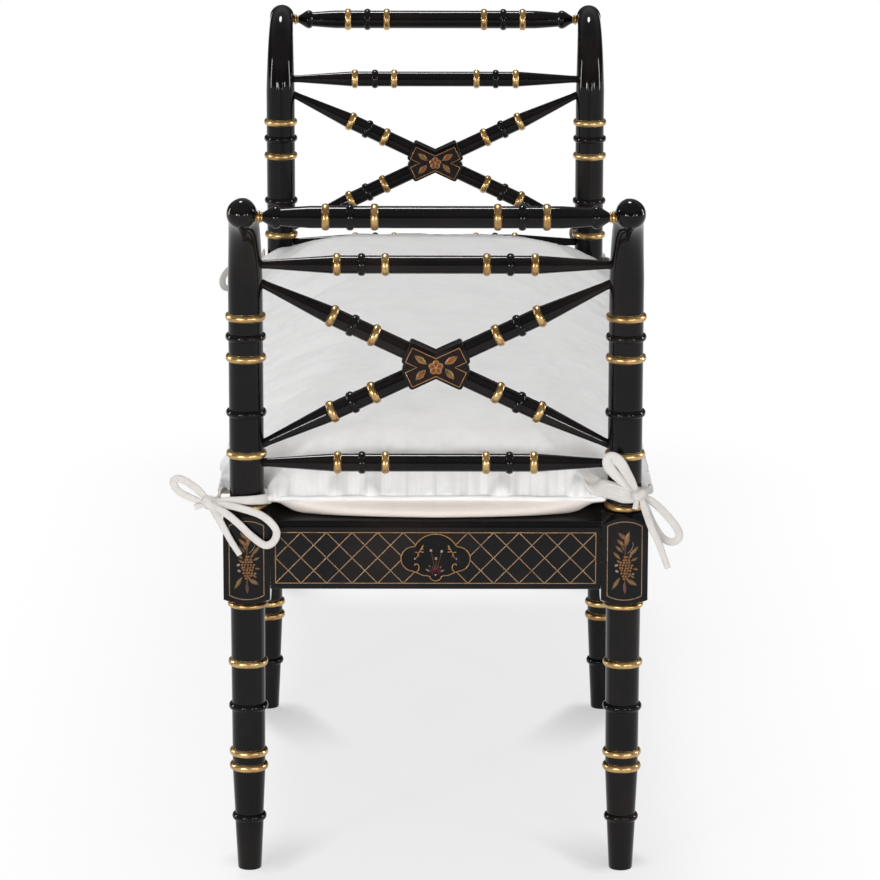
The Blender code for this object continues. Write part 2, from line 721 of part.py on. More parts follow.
BACK_ROUTES = {
    "end_strap": [
        (0.0072, -0.0270, 0.0256), (0.0130, -0.0235, 0.0310), (0.0190, -0.0160, 0.0345),
        (0.0250, -0.0040, 0.0335), (0.0270, 0.0110, 0.0325),
    ],
    "side_strap": [
        (-0.0253, 0.0256, 0.0246), (-0.0080, 0.0290, 0.0300), (0.0080, 0.0285, 0.0330),
        (0.0240, 0.0180, 0.0335),
    ],
    "high_loop": [
        (0.0250, 0.0130, 0.0360), (0.0260, -0.0050, 0.0485), (0.0265, -0.0185, 0.0640),
        (0.0275, -0.0175, 0.0740), (0.0300, -0.0085, 0.0715), (0.0310, 0.0010, 0.0575),
        (0.0300, 0.0130, 0.0370),
    ],
    "low_loop": [
        (0.0266, 0.0170, 0.0310), (0.0237, 0.0320, 0.0215), (0.0218, 0.0460, 0.0075),
        (0.0210, 0.0580, -0.0080), (0.0210, 0.0605, -0.0180), (0.0220, 0.0540, -0.0235),
        (0.0255, 0.0420, -0.0180), (0.0300, 0.0300, 0.0010), (0.0296, 0.0175, 0.0280),
    ],
    "long_tail": [
        (0.0320, 0.0175, 0.0300), (0.0365, 0.0280, -0.0010), (0.0345, 0.0370, -0.0210),
        (0.0310, 0.0485, -0.0530),
    ],
    "short_tail": [(0.0300, 0.0135, 0.0300), (0.0318, 0.0115, 0.0225), (0.0330, 0.0105, 0.0160)],
}


def smooth_line(points, step):
    """Points about a step apart on a smooth curve through the given ones."""
    padded = [2 * points[0] - points[1], *points, 2 * points[-1] - points[-2]]
    line = []
    for before, start, end, after in zip(padded, padded[1:], padded[2:], padded[3:]):
        start_handle = start + (end - before) / 6
        end_handle = end - (after - start) / 6
        count = max(1, round((end - start).length / step))
        line += interpolate_bezier(start, start_handle, end_handle, end, count + 1)[:-1]
    return [*line, points[-1]]


def strap_helper(name, line, flat_way):
    """A soft strap of oval section along a line, narrowed at both ends, its flat side towards flat_way."""
    form = bmesh.new()
    rings = []
    for i, point in enumerate(line):
        along = (line[min(i + 1, len(line) - 1)] - line[max(i - 1, 0)]).normalized()
        facing_way = flat_way(point)
        across = along.cross(facing_way).normalized()
        out = across.cross(along)
        narrow = TIE_END_SHARE if i in (0, len(line) - 1) else 1.0
        section = []
        for k in range(TIE_SIDES):
            angle = 2 * math.pi * k / TIE_SIDES
            side = across * (math.cos(angle) * TIE_WIDTH / 2 * narrow)
            section.append(form.verts.new(point + side + out * (math.sin(angle) * TIE_THICKNESS / 2)))
        rings.append(section)
    for before, after in zip(rings, rings[1:]):
        for k in range(TIE_SIDES):
            form.faces.new((before[k], before[k - 1], after[k - 1], after[k]))
    form.faces.new(rings[0])
    form.faces.new(rings[-1])
    bmesh.ops.recalc_face_normals(form, faces=form.faces)
    mesh = bpy.data.meshes.new(name)
    form.to_mesh(mesh)
    form.free()
    return add_helper(name, mesh)


def make_tie(name, y_sign, knot, routes):
    """A tie at the right end of the bench."""
    axis = Vector((HALF_LENGTH, y_sign * HALF_DEPTH, SEAT_HEIGHT))

    def placed(offset):
        return axis + Vector((offset[0], y_sign * offset[1], offset[2]))

    def from_post(point):
        return Vector((point.x - axis.x, point.y - axis.y, 0.0))

    def along_bench(point):
        return Vector((1.0, 0.0, 0.0))

    core = ball_helper(name + "_knot", placed(knot), KNOT_RADII, STICK_STEPS, STICK_STEPS - 2)
    tie = add_part(name, core.data.copy(), CLOTH)
    tie.location = core.location
    bpy.data.objects.remove(core)
    for strand, offsets in routes.items():
        line = smooth_line([placed(offset) for offset in offsets], TIE_STEP)
        flat_way = from_post if strand.endswith("strap") else along_bench
        step = combine(tie, strap_helper(f"{name}_{strand}", line, flat_way), "UNION")
        step.use_self = True
    return tie


def mirror_part(name, original):
    """The same piece at the left end of the bench."""
    bpy.context.view_layer.update()
    graph = bpy.context.evaluated_depsgraph_get()
    mesh = bpy.data.meshes.new_from_object(original.evaluated_get(graph))
    mesh.transform(Matrix.Diagonal((-1, 1, 1, 1)) @ original.matrix_world)
    mesh.flip_normals()
    bench.objects.link(bpy.data.objects.new(name, mesh))


tie_forms = {"front": (FRONT_KNOT, FRONT_ROUTES), "back": (BACK_KNOT, BACK_ROUTES)}
for side, y_sign in SIDES.items():
    right_tie = make_tie(f"tie_{side}_right", y_sign, *tie_forms[side])
    mirror_part(f"tie_{side}_left", right_tie)
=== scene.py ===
# %% [markdown]
# # A window bench in black lacquer and gilt
# The real bench is long and low. Its turned legs and arms are lacquered black with gilt rings, its seat
# rails are painted with a gold lattice, and a stuffed white cushion is tied to the arm posts.
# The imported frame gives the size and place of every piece, in metres: X runs along the bench, Y across
# it and Z up. The lesson dresses that frame, so nothing here decides a size that the frame knows.

# %% Load the frame
from math import atan2, cos, exp, floor, hypot, pi, radians, sin, sqrt, tau

import bmesh
import bpy
from mathutils import Matrix, Quaternion, Vector, noise
from mathutils.geometry import interpolate_bezier


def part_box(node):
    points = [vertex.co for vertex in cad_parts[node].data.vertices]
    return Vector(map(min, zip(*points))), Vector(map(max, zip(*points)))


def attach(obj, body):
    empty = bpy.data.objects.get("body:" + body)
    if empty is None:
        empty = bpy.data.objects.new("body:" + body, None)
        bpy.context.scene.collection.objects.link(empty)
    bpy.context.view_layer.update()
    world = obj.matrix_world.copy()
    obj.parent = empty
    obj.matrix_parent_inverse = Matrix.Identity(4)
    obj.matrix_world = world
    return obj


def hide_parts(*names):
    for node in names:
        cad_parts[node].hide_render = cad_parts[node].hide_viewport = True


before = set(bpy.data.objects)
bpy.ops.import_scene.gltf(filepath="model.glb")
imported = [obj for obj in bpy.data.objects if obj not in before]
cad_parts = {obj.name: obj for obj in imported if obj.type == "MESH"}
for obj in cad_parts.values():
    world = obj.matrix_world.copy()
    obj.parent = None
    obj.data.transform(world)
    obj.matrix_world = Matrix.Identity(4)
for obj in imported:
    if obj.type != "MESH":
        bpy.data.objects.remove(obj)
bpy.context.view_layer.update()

# %% Places read from the frame
UP = Vector((0, 0, 1))
FIT = 0.0003
leg_low, leg_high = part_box("leg_back_right")
BLOCK_SIDE = leg_high.x - leg_low.x
BLOCK_TOP = leg_high.z
POST_X = (leg_low.x + leg_high.x) / 2
POST_Y = (leg_low.y + leg_high.y) / 2
rail_low, rail_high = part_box("end_seat_rail_right")
SEAT_TOP = rail_high.z
RAIL_BOTTOM = rail_low.z
RAIL_THICKNESS = rail_high.x - rail_low.x
END_FACE = rail_high.x
SIDE_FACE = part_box("side_seat_rail_back_right")[1].y
print("post axis", round(POST_X, 4), round(POST_Y, 4), "block", round(BLOCK_SIDE, 4), "seat", round(SEAT_TOP, 4))

# %% [markdown]
# ## The camera
# The photograph was taken with a long lens from one end of the bench, a little above the seat. A long
# lens keeps the far arm nearly as large as the near one. The camera's place came from fitting the rings
# of the four posts, so its numbers are used as they are.

# %% Camera
FOCAL_PIXELS = 4769.95
IMAGE_PIXELS = 880
DOWNWARD, SIDEWAYS, LEAN = 0.2375717, 0.00200976, 0.00177852
lens = bpy.data.cameras.new("camera")
lens.sensor_width = 36.0
lens.lens = FOCAL_PIXELS / IMAGE_PIXELS * lens.sensor_width
camera = bpy.data.objects.new("camera", lens)
bpy.context.collection.objects.link(camera)
gaze = Vector((-cos(DOWNWARD) * cos(SIDEWAYS), cos(DOWNWARD) * sin(SIDEWAYS), -sin(DOWNWARD)))
camera.rotation_mode = "QUATERNION"
camera.rotation_quaternion = gaze.to_track_quat("-Z", "Y") @ Quaternion((0, 0, 1), LEAN)
camera.location = (5.773393, -0.005634, 1.743915)
bpy.context.scene.camera = camera
bpy.context.scene.view_settings.view_transform = "Standard"
print("lens", round(lens.lens, 2), "mm")

# %% [markdown]
# ## Writing a finish
# A finish is a tree of shader nodes. Adding nodes one by one is long to read, so two small classes help:
# a Wire is a socket that can be used in sums, and a Finish is a material whose one method adds any node.
# Only values that change over the surface are wired. A value that is the same all over is set directly.

# %% Wires and finishes
class Wire:
    """A socket in a sum. Every operator adds one Math node."""

    def __init__(self, finish, socket):
        self.finish = finish
        self.socket = socket

    def math(self, operation, first, second):
        return self.finish.add("ShaderNodeMath", {"operation": operation}, {0: first, 1: second})

    def __add__(self, other):
        return self.math("ADD", self, other)

    def __sub__(self, other):
        return self.math("SUBTRACT", self, other)

    def __rsub__(self, other):
        return self.math("SUBTRACT", other, self)

    def __mul__(self, other):
        return self.math("MULTIPLY", self, other)

    def __pow__(self, other):
        return self.math("POWER", self, other)

    __radd__ = __add__
    __rmul__ = __mul__


class Finish:
    """A material round one Principled surface."""

    def __init__(self, name, constants):
        self.material = bpy.data.materials.new(name)
        self.material.use_nodes = True
        self.tree = self.material.node_tree
        self.surface = self.tree.nodes["Principled BSDF"]
        for socket, value in constants.items():
            self.surface.inputs[socket].default_value = value

    def add(self, kind, settings, sockets, output=0):
        node = self.tree.nodes.new(kind)
        for name, value in settings.items():
            setattr(node, name, value)
        for name, value in sockets.items():
            self.feed(node.inputs[name], value)
        return Wire(self, node.outputs[output])

    def feed(self, socket, value):
        if isinstance(value, Wire):
            self.tree.links.new(value.socket, socket)
        else:
            socket.default_value = value

    def wire(self, **sockets):
        for name, value in sockets.items():
            self.feed(self.surface.inputs[name.replace("_", " ")], value)

    def place(self):
        return self.add("ShaderNodeTexCoord", {}, {}, "Object")

    def stretch(self, place, scale):
        return self.add("ShaderNodeMapping", {}, {"Vector": place, "Scale": scale})

    def cloud(self, place, scale, detail=4.0, roughness=0.55):
        settings = {"Vector": place, "Scale": scale, "Detail": detail, "Roughness": roughness}
        return self.add("ShaderNodeTexNoise", {}, settings, "Fac")

    def span(self, value, low, high, to_low=0.0, to_high=1.0):
        limits = {"Value": value, "From Min": low, "From Max": high, "To Min": to_low, "To Max": to_high}
        return self.add("ShaderNodeMapRange", {"interpolation_type": "SMOOTHSTEP"}, limits)

    def mark(self, name, output="Fac"):
        return self.add("ShaderNodeAttribute", {"attribute_name": name}, {}, output)

    def mix(self, share, first, second):
        return self.add("ShaderNodeMix", {"data_type": "RGBA"}, {0: share, 6: first, 7: second}, 2)

    def bump(self, height, strength, distance):
        sockets = {"Height": height, "Strength": strength, "Distance": distance}
        return self.add("ShaderNodeBump", {}, sockets, "Normal")


# %% [markdown]
# ## Black lacquer and gilt rings
# The wood is lacquered black and rubbed to a gloss, so its colour is almost nothing and its look comes
# from reflections. Old lacquer is never quite even: it is slightly brown in places, its gloss is cloudy
# and the surface has a faint ripple. The rings are leaf gilding over the same wood. A mark on the mesh,
# called gilding, says where the leaf lies, so that ring and shaft stay one turned piece, and noise breaks
# the edge of the leaf and rubs it through to the red-brown ground.

# %% Lacquer finishes
LACQUER_DEEP = (0.0045, 0.0040, 0.0045, 1)
LACQUER_BROWN = (0.0120, 0.0085, 0.0075, 1)
LEAF_BRIGHT = (0.570, 0.385, 0.170, 1)
LEAF_DULL = (0.350, 0.205, 0.080, 1)
LEAF_GROUND = (0.075, 0.026, 0.012, 1)


def lacquer_parts(finish, place):
    """Colour, roughness and height of the lacquer."""
    browned = finish.span(finish.cloud(place, 9.0), 0.42, 0.75)
    colour = finish.mix(browned, LACQUER_DEEP, LACQUER_BROWN)
    hazed = finish.cloud(place, 34.0, 5.0)
    scuffed = finish.span(finish.cloud(finish.stretch(place, (1, 1, 0.25)), 420.0, 2.0), 0.66, 0.74)
    roughness = 0.05 + 0.06 * hazed + 0.12 * scuffed
    ripple = finish.cloud(place, 60.0, 2.0)
    return colour, roughness, ripple


def make_lacquer(name):
    finish = Finish(name, {"Specular IOR Level": 0.17, "IOR": 1.5})
    colour, roughness, ripple = lacquer_parts(finish, finish.place())
    finish.wire(Base_Color=colour, Roughness=roughness, Normal=finish.bump(ripple, 0.05, 0.002))
    return finish.material


def make_gilt_lacquer(name):
    finish = Finish(name, {"Specular IOR Level": 0.17, "IOR": 1.5})
    place = finish.place()
    colour, roughness, ripple = lacquer_parts(finish, place)
    grain = finish.cloud(place, 260.0, 4.0)
    leaf = finish.span(finish.mark("gilding") + 0.30 * grain, 0.52, 0.72)
    worn = finish.span(finish.cloud(place, 120.0, 6.0, 0.68), 0.60, 0.74)
    shade = finish.span(finish.cloud(place, 55.0, 3.0), 0.35, 0.70)
    gold = finish.mix(shade, LEAF_BRIGHT, LEAF_DULL)
    gold = finish.mix(0.85 * worn, gold, LEAF_GROUND)
    metal = leaf * (1 - 0.8 * worn)
    leaf_roughness = 0.24 + 0.14 * grain + 0.14 * worn
    finish.wire(
        Base_Color=finish.mix(leaf, colour, gold),
        Metallic=metal,
        Roughness=roughness + leaf * (leaf_roughness - roughness),
        Normal=finish.bump(ripple + 0.5 * leaf * grain, 0.10, 0.002),
    )
    return finish.material


lacquer = make_lacquer("black_lacquer_rubbed")
gilt_lacquer = make_gilt_lacquer("black_lacquer_with_gilt_rings")
print("finishes:", lacquer.name, gilt_lacquer.name)

# %% [markdown]
# ## Ornament paint
# The lattice, the borders and the flowers are painted by hand in gold and a few dull colours. Each stroke
# carries its own colour as a mark called tint. The paint is thin, so noise lets a little of the dark
# ground through, and strokes are duller where a hand has rubbed them.

# %% Ornament paint
def make_paint(name):
    finish = Finish(name, {"Specular IOR Level": 0.17})
    place = finish.place()
    tint = finish.mark("tint", "Color")
    thin = finish.span(finish.cloud(place, 330.0, 3.0), 0.30, 0.72)
    rubbed = finish.span(finish.cloud(place, 70.0, 4.0), 0.52, 0.74)
    deeper = finish.add("ShaderNodeVectorMath", {"operation": "SCALE"}, {0: tint, "Scale": 0.55}, "Vector")
    colour = finish.mix(0.7 * thin, tint, deeper)
    colour = finish.mix(0.55 * rubbed, colour, LACQUER_BROWN)
    finish.wire(
        Base_Color=colour,
        Metallic=0.25 * (1 - rubbed),
        Roughness=0.20 + 0.22 * thin,
        Normal=finish.bump(thin, 0.12, 0.0006),
    )
    return finish.material


ornament_paint = make_paint("ornament_paint")
print("finish:", ornament_paint.name)

# %% [markdown]
# ## Off-white cotton and stained board
# The cushion and its ties are a plain off-white cotton. It has a fine weave, a cloudy unevenness where the
# stuffing lies closer to the cloth, and no gloss. The weave follows Object coordinates on the cushion and
# the strap's own UV map on a tie. Under the seat the bench is plain stained board with a long grain.
# The tape is a darker copy of the cushion's cotton, which paints shade on the ties. The cushion's finish
# also paints shade: darker valleys in the gathers by the seam, and a warmer, darker underside below it.

# %% Cloth and board finishes
COTTON = (0.872, 0.866, 0.862, 1)
COTTON_SHADE = (0.755, 0.745, 0.742, 1)
# Painted shade: the cushion's underside below the seam gets a warmer, darker colour.
UNDERSIDE_PAINTED_SHADE = (0.780, 0.700, 0.645, 1)
# Painted shade for the valleys of the gathers near the seam.
PAINTED_PLEAT_SHADE = (0.620, 0.600, 0.590, 1)
# Painted shade: the tape is the cushion's cotton made darker, standing for the shade the ties lie in.
TAPE_COTTON_PAINTED_DARKER = (0.680, 0.648, 0.617, 1)
TAPE_MOTTLE_PAINTED_DARKER = (0.529, 0.503, 0.478, 1)


def make_cotton(name, clean, shaded, own_map):
    finish = Finish(name, {"Specular IOR Level": 0.12, "Sheen Weight": 0.12, "Sheen Roughness": 0.5})
    place = finish.place()
    weave_place = finish.add("ShaderNodeTexCoord", {}, {}, "UV") if own_map else place
    threads = []
    for way in ("X", "Y"):
        settings = {"wave_type": "BANDS", "bands_direction": way}
        sockets = {"Vector": weave_place, "Scale": 420.0, "Distortion": 1.2, "Detail": 1.0}
        threads.append(finish.add("ShaderNodeTexWave", settings, sockets, "Fac"))
    weave = threads[0] * threads[1]
    slubs = finish.cloud(finish.stretch(weave_place, (1, 0.12, 1)), 500.0, 3.0)
    mottle = finish.span(finish.cloud(place, 16.0, 5.0), 0.36, 0.78)
    fine = finish.span(finish.cloud(place, 75.0, 4.0), 0.40, 0.80)
    colour = finish.mix(0.45 * mottle + 0.25 * fine, clean, shaded)
    height = 0.6 * weave + 0.4 * slubs
    if not own_map:
        gather = finish.mark("gather")
        pleats = []
        for scale in (140.0, 62.0):
            pleat_place = {"W": finish.mark("rim_run"), "Scale": scale, "Detail": 2.0}
            pleats.append(finish.add("ShaderNodeTexNoise", {"noise_dimensions": "1D"}, pleat_place))
        height = height + 9.0 * gather * pleats[0]
        # Painted shade: the valleys of the gathers near the seam are darkened.
        colour = finish.mix(0.7 * gather * finish.span(pleats[1], 0.50, 0.66), colour, PAINTED_PLEAT_SHADE)
        # Painted shade: points below the seam take the warmer, darker underside colour.
        colour = finish.mix(finish.mark("painted_underside_shade"), colour, UNDERSIDE_PAINTED_SHADE)
    finish.wire(
        Base_Color=colour,
        Roughness=0.80 + 0.12 * slubs,
        Normal=finish.bump(height, 0.35, 0.0012),
    )
    return finish.material


def make_board(name):
    finish = Finish(name, {"Specular IOR Level": 0.3})
    place = finish.stretch(finish.place(), (0.12, 1, 1))
    grain = finish.cloud(place, 190.0, 6.0)
    streak = finish.span(finish.cloud(place, 38.0, 3.0), 0.35, 0.70)
    colour = finish.mix(streak, (0.030, 0.018, 0.012, 1), (0.062, 0.036, 0.021, 1))
    finish.wire(
        Base_Color=colour,
        Roughness=0.48 + 0.25 * grain,
        Normal=finish.bump(grain, 0.20, 0.001),
    )
    return finish.material


cotton = make_cotton("off_white_cotton", COTTON, COTTON_SHADE, False)
# The ties' cotton is a darker copy of the cushion's cotton: painted shade.
tie_cotton_painted_darker = make_cotton("off_white_cotton_tape_painted_darker", TAPE_COTTON_PAINTED_DARKER, TAPE_MOTTLE_PAINTED_DARKER, True)
board = make_board("stained_board_grain")
print("finishes:", cotton.name, tie_cotton_painted_darker.name, board.name)

# %% [markdown]
# ## Working by hand
# An operator acts on whatever is selected, and the frame leaves its solids selected. So each piece starts
# from an empty selection. A finished piece keeps its object at the origin, with its place in its mesh, and
# then it is given its finish and hung on the frame.

# %% Selecting, placing and finishing
def clear_selection():
    if bpy.context.mode != "OBJECT":
        bpy.ops.object.mode_set(mode="OBJECT")
    bpy.ops.object.select_all(action="DESELECT")


def pick(*pieces):
    """Selects these pieces alone, the first one active."""
    clear_selection()
    for piece in pieces:
        piece.select_set(True)
    bpy.context.view_layer.objects.active = pieces[0]


def put(piece, place):
    """Writes a place into a piece's mesh."""
    pick(piece)
    piece.matrix_world = place
    bpy.ops.object.transform_apply(location=True, rotation=True, scale=True)
    return piece


def copy_of(piece, name):
    twin = piece.copy()
    twin.data = piece.data.copy()
    twin.name = name
    twin.data.name = name
    bpy.context.collection.objects.link(twin)
    return twin


def discard(piece):
    bpy.data.objects.remove(piece)


def smooth(piece, degrees=32):
    pick(piece)
    bpy.ops.object.shade_smooth_by_angle(angle=radians(degrees))


def close_up(piece):
    """Welds a piece's doubled points and turns its faces outwards."""
    pick(piece)
    bpy.ops.object.mode_set(mode="EDIT")
    bpy.ops.mesh.select_all(action="SELECT")
    bpy.ops.mesh.remove_doubles(threshold=0.00001)
    bpy.ops.mesh.normals_make_consistent(inside=False)
    bpy.ops.object.mode_set(mode="OBJECT")


def combine(piece, other, operation):
    """Joins another shape to a piece, or cuts the piece with it, and removes the other shape."""
    modifier = piece.modifiers.new(operation.lower(), "BOOLEAN")
    modifier.operation = operation
    modifier.object = other
    pick(piece)
    bpy.ops.object.modifier_apply(modifier=modifier.name)
    discard(other)


def hang(piece, material, slot, *nodes):
    """Gives a piece its finish and its place on the bench."""
    piece.data.materials.clear()
    piece.data.materials.append(material)
    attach(piece, "root")
    if nodes:
        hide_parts(*nodes)


ENDS = {"left": -1, "right": 1}
SIDES = {"front": -1, "back": 1}
print("ends:", ENDS, "sides:", SIDES)

# %% [markdown]
# ## Cushion ties
# At each corner two soft cotton straps are sewn to the cushion. They meet round the arm post in a bow with
# two loops and two tails. Each strap is one length of tape: it leaves the seam, goes into the knot, makes
# its loop, comes back through the knot and ends in a tail with a square cut. A curve with a round bevel
# would give a hose, so the tape is lofted: an oval section is carried along a smooth line, flat side to
# the post on the way to the knot and flat side outwards in the loops, and squeezed where the knot grips it.

# %% Tape routes, out along the bench, out across it, and up from the seat
FRONT_KNOT = (0.016, 0.040, 0.019)
FRONT_TAPES = {
    "low": [
        (0.0071, -0.0268, 0.0226), (0.0130, -0.0235, 0.0234), (0.0190, -0.0165, 0.0238), (0.0235, -0.0030, 0.0240),
        (0.0220, 0.0130, 0.0235), (0.0170, 0.0360, 0.0200), (0.0265, 0.0090, 0.0165), (0.0305, -0.0180, 0.0080),
        (0.0325, -0.0330, -0.0070), (0.0325, -0.0310, -0.0200), (0.0325, -0.0210, -0.0250),
        (0.0325, -0.0065, -0.0150), (0.0320, 0.0090, 0.0000), (0.0290, 0.0220, 0.0100), (0.0210, 0.0375, 0.0150),
        (0.0300, 0.0290, 0.0020), (0.0320, 0.0170, -0.0200), (0.0315, 0.0060, -0.0380),
    ],
    "high": [
        (-0.0250, 0.0256, 0.0247), (-0.0120, 0.0300, 0.0240), (0.0020, 0.0330, 0.0220), (0.0130, 0.0400, 0.0205),
        (0.0130, 0.0570, 0.0360), (0.0110, 0.0720, 0.0450), (0.0100, 0.0810, 0.0430), (0.0120, 0.0770, 0.0330),
        (0.0160, 0.0640, 0.0260), (0.0185, 0.0430, 0.0175), (0.0200, 0.0510, 0.0170), (0.0210, 0.0590, 0.0150),
    ],
}
BACK_KNOT = (0.028, 0.015, 0.033)
BACK_TAPES = {
    "low": [
        (0.0072, -0.0270, 0.0256), (0.0130, -0.0235, 0.0310), (0.0190, -0.0160, 0.0345), (0.0250, -0.0040, 0.0335),
        (0.0266, 0.0150, 0.0320), (0.0237, 0.0320, 0.0215), (0.0218, 0.0460, 0.0075), (0.0210, 0.0580, -0.0080),
        (0.0210, 0.0605, -0.0180), (0.0220, 0.0540, -0.0235), (0.0255, 0.0420, -0.0180), (0.0300, 0.0300, 0.0010),
        (0.0305, 0.0178, 0.0290), (0.0365, 0.0280, -0.0010), (0.0345, 0.0370, -0.0210), (0.0310, 0.0485, -0.0530),
    ],
    "high": [
        (-0.0253, 0.0256, 0.0246), (-0.0080, 0.0290, 0.0300), (0.0080, 0.0285, 0.0330), (0.0250, 0.0150, 0.0350),
        (0.0260, -0.0050, 0.0485), (0.0265, -0.0185, 0.0640), (0.0275, -0.0175, 0.0740), (0.0300, -0.0085, 0.0715),
        (0.0310, 0.0010, 0.0575), (0.0300, 0.0132, 0.0340), (0.0318, 0.0115, 0.0225), (0.0330, 0.0105, 0.0160),
    ],
}
DROOPING_TAPE = [
    (-0.0250, 0.0256, 0.0247), (-0.0120, 0.0245, 0.0410), (0.0020, 0.0250, 0.0455),
    (0.0130, 0.0400, 0.0205), (0.0130, 0.0580, 0.0260), (0.0110, 0.0730, 0.0200),
    (0.0100, 0.0815, 0.0060), (0.0120, 0.0780, -0.0060), (0.0160, 0.0640, -0.0030),
    (0.0185, 0.0430, 0.0175), (0.0200, 0.0510, 0.0120), (0.0210, 0.0570, 0.0040),
]
GATHERED_END = [
    (-0.0270, -0.0510, 0.0495), (-0.0180, -0.0470, 0.0510), (-0.0060, -0.0405, 0.0435), (0.0040, -0.0335, 0.0385),
    (0.0120, -0.0250, 0.0358), (0.0200, -0.0120, 0.0338), (0.0262, 0.0020, 0.0308), (0.0268, 0.0150, 0.0285),
]
print("tapes:", {name: len(points) for name, points in FRONT_TAPES.items()})


# %% A smooth line through the points of a route
def smooth_line(points, step):
    """Points a step apart on one smooth curve through the given ones."""
    points = [Vector(point) for point in points]
    slopes = [points[1] - points[0]]
    for before, after in zip(points, points[2:]):
        slopes.append((after - before) / 2)
    slopes.append(points[-1] - points[-2])
    dense = []
    for index in range(len(points) - 1):
        start, end = points[index], points[index + 1]
        first = start + slopes[index] / 3
        second = end - slopes[index + 1] / 3
        dense += interpolate_bezier(start, first, second, end, 25)[:-1]
    dense.append(points[-1])
    line, carried = [dense[0]], 0.0
    for start, end in zip(dense, dense[1:]):
        length = (end - start).length
        while length > 0 and carried + length >= step:
            share = (step - carried) / length
            start = start.lerp(end, share)
            length = (end - start).length
            line.append(start)
            carried = 0.0
        carried += length
    return line


def line_length(line):
    return sum((end - start).length for start, end in zip(line, line[1:]))


# %% Tape: an oval section carried along a line
TAPE_WIDTH = 0.0086
TAPE_THICKNESS = 0.0030
TAIL_WIDTH = 0.0066
SEWN_WIDTH = 0.0130
GATHERED_WIDTH = 0.0225
LOOP_FULLNESS = 0.0046
TAPE_STEP = 0.0022
SECTION = 14


def section_point(turn_share):
    """A point of a flat section with soft edges, between -0.5 and 0.5 both ways."""
    angle = turn_share * tau
    across = abs(cos(angle)) ** 0.55 * (1 if cos(angle) >= 0 else -1)
    through = abs(sin(angle)) ** 0.80 * (1 if sin(angle) >= 0 else -1)
    return across / 2, through / 2


def flat_ways(line, centre, face):
    """The way that a tape's flat side looks: away from the post near it, and otherwise to face."""
    ways = []
    for point in line:
        away = Vector((point.x - centre.x, point.y - centre.y, 0))
        close = max(0.0, min(1.0, (0.036 - away.length) / 0.010))
        ways.append(away.normalized() * close + face * (1 - close))
    for _ in range(6):
        ways = [
            (ways[max(index - 1, 0)] + ways[index] * 2 + ways[min(index + 1, len(ways) - 1)]) / 4
            for index in range(len(ways))
        ]
    return ways


def tape_width(index, count):
    """Wide where the tape is sewn on, and a little narrower towards its cut end."""
    sewn = max(0.0, 1 - index * TAPE_STEP / 0.045)
    tail = max(0.0, 1 - (count - index) * TAPE_STEP / 0.060)
    return TAPE_WIDTH + (SEWN_WIDTH - TAPE_WIDTH) * sewn + (TAIL_WIDTH - TAPE_WIDTH) * tail


def loop_width(index, count):
    """A tape that is fuller in its loop, so that the two sides of the loop touch."""
    return tape_width(index, count) + LOOP_FULLNESS * exp(-((index / count - 0.60) / 0.20) ** 2)


def gathered_width(index, count):
    """A fold of the cushion's own cloth that widens off the corner and narrows into the knot."""
    share = index / count
    return GATHERED_WIDTH * (0.4 + 0.6 * min(1.0, share / 0.35)) * (1 - 0.15 * share ** 2)


def make_tape(name, line, ways, knot, width_at, thickness=TAPE_THICKNESS):
    form = bmesh.new()
    own_map = form.loops.layers.uv.new("UVMap")
    rings = []
    for index, point in enumerate(line):
        along = line[min(index + 1, len(line) - 1)] - line[max(index - 1, 0)]
        along.normalize()
        out = ways[index] - along * ways[index].dot(along)
        if out.length < 0.05:
            out = rings_out
        out.normalize()
        rings_out = out
        side = along.cross(out)
        gripped = max(0.0, 1 - (point - knot).length / 0.017)
        width = width_at(index, len(line)) * (1 - 0.45 * gripped)
        depth = thickness * (1 + 0.35 * gripped)
        crease = 0.0005 * sin(index * 0.9) * noise.noise(point * 140)
        ring = []
        for turn in range(SECTION):
            across, through = section_point(turn / SECTION)
            wave = crease * cos(across * 9) + 0.09 * max(0.0, width - SEWN_WIDTH) * cos(across * 17)
            ring.append(form.verts.new(point + side * (across * width) + out * (through * depth + wave)))
        rings.append(ring)
    for index, (first, second) in enumerate(zip(rings, rings[1:])):
        for turn in range(SECTION):
            after = (turn + 1) % SECTION
            face = form.faces.new((first[turn], first[after], second[after], second[turn]))
            corners = ((turn, index), (turn + 1, index), (turn + 1, index + 1), (turn, index + 1))
            for loop, (around, run) in zip(face.loops, corners):
                loop[own_map].uv = (around / SECTION * 2 * TAPE_WIDTH, run * TAPE_STEP)
    form.faces.new(reversed(rings[0]))
    form.faces.new(rings[-1])
    bmesh.ops.recalc_face_normals(form, faces=form.faces)
    mesh = bpy.data.meshes.new(name)
    form.to_mesh(mesh)
    form.free()
    tape = bpy.data.objects.new(name, mesh)
    bpy.context.collection.objects.link(tape)
    smooth(tape, 50)
    return tape


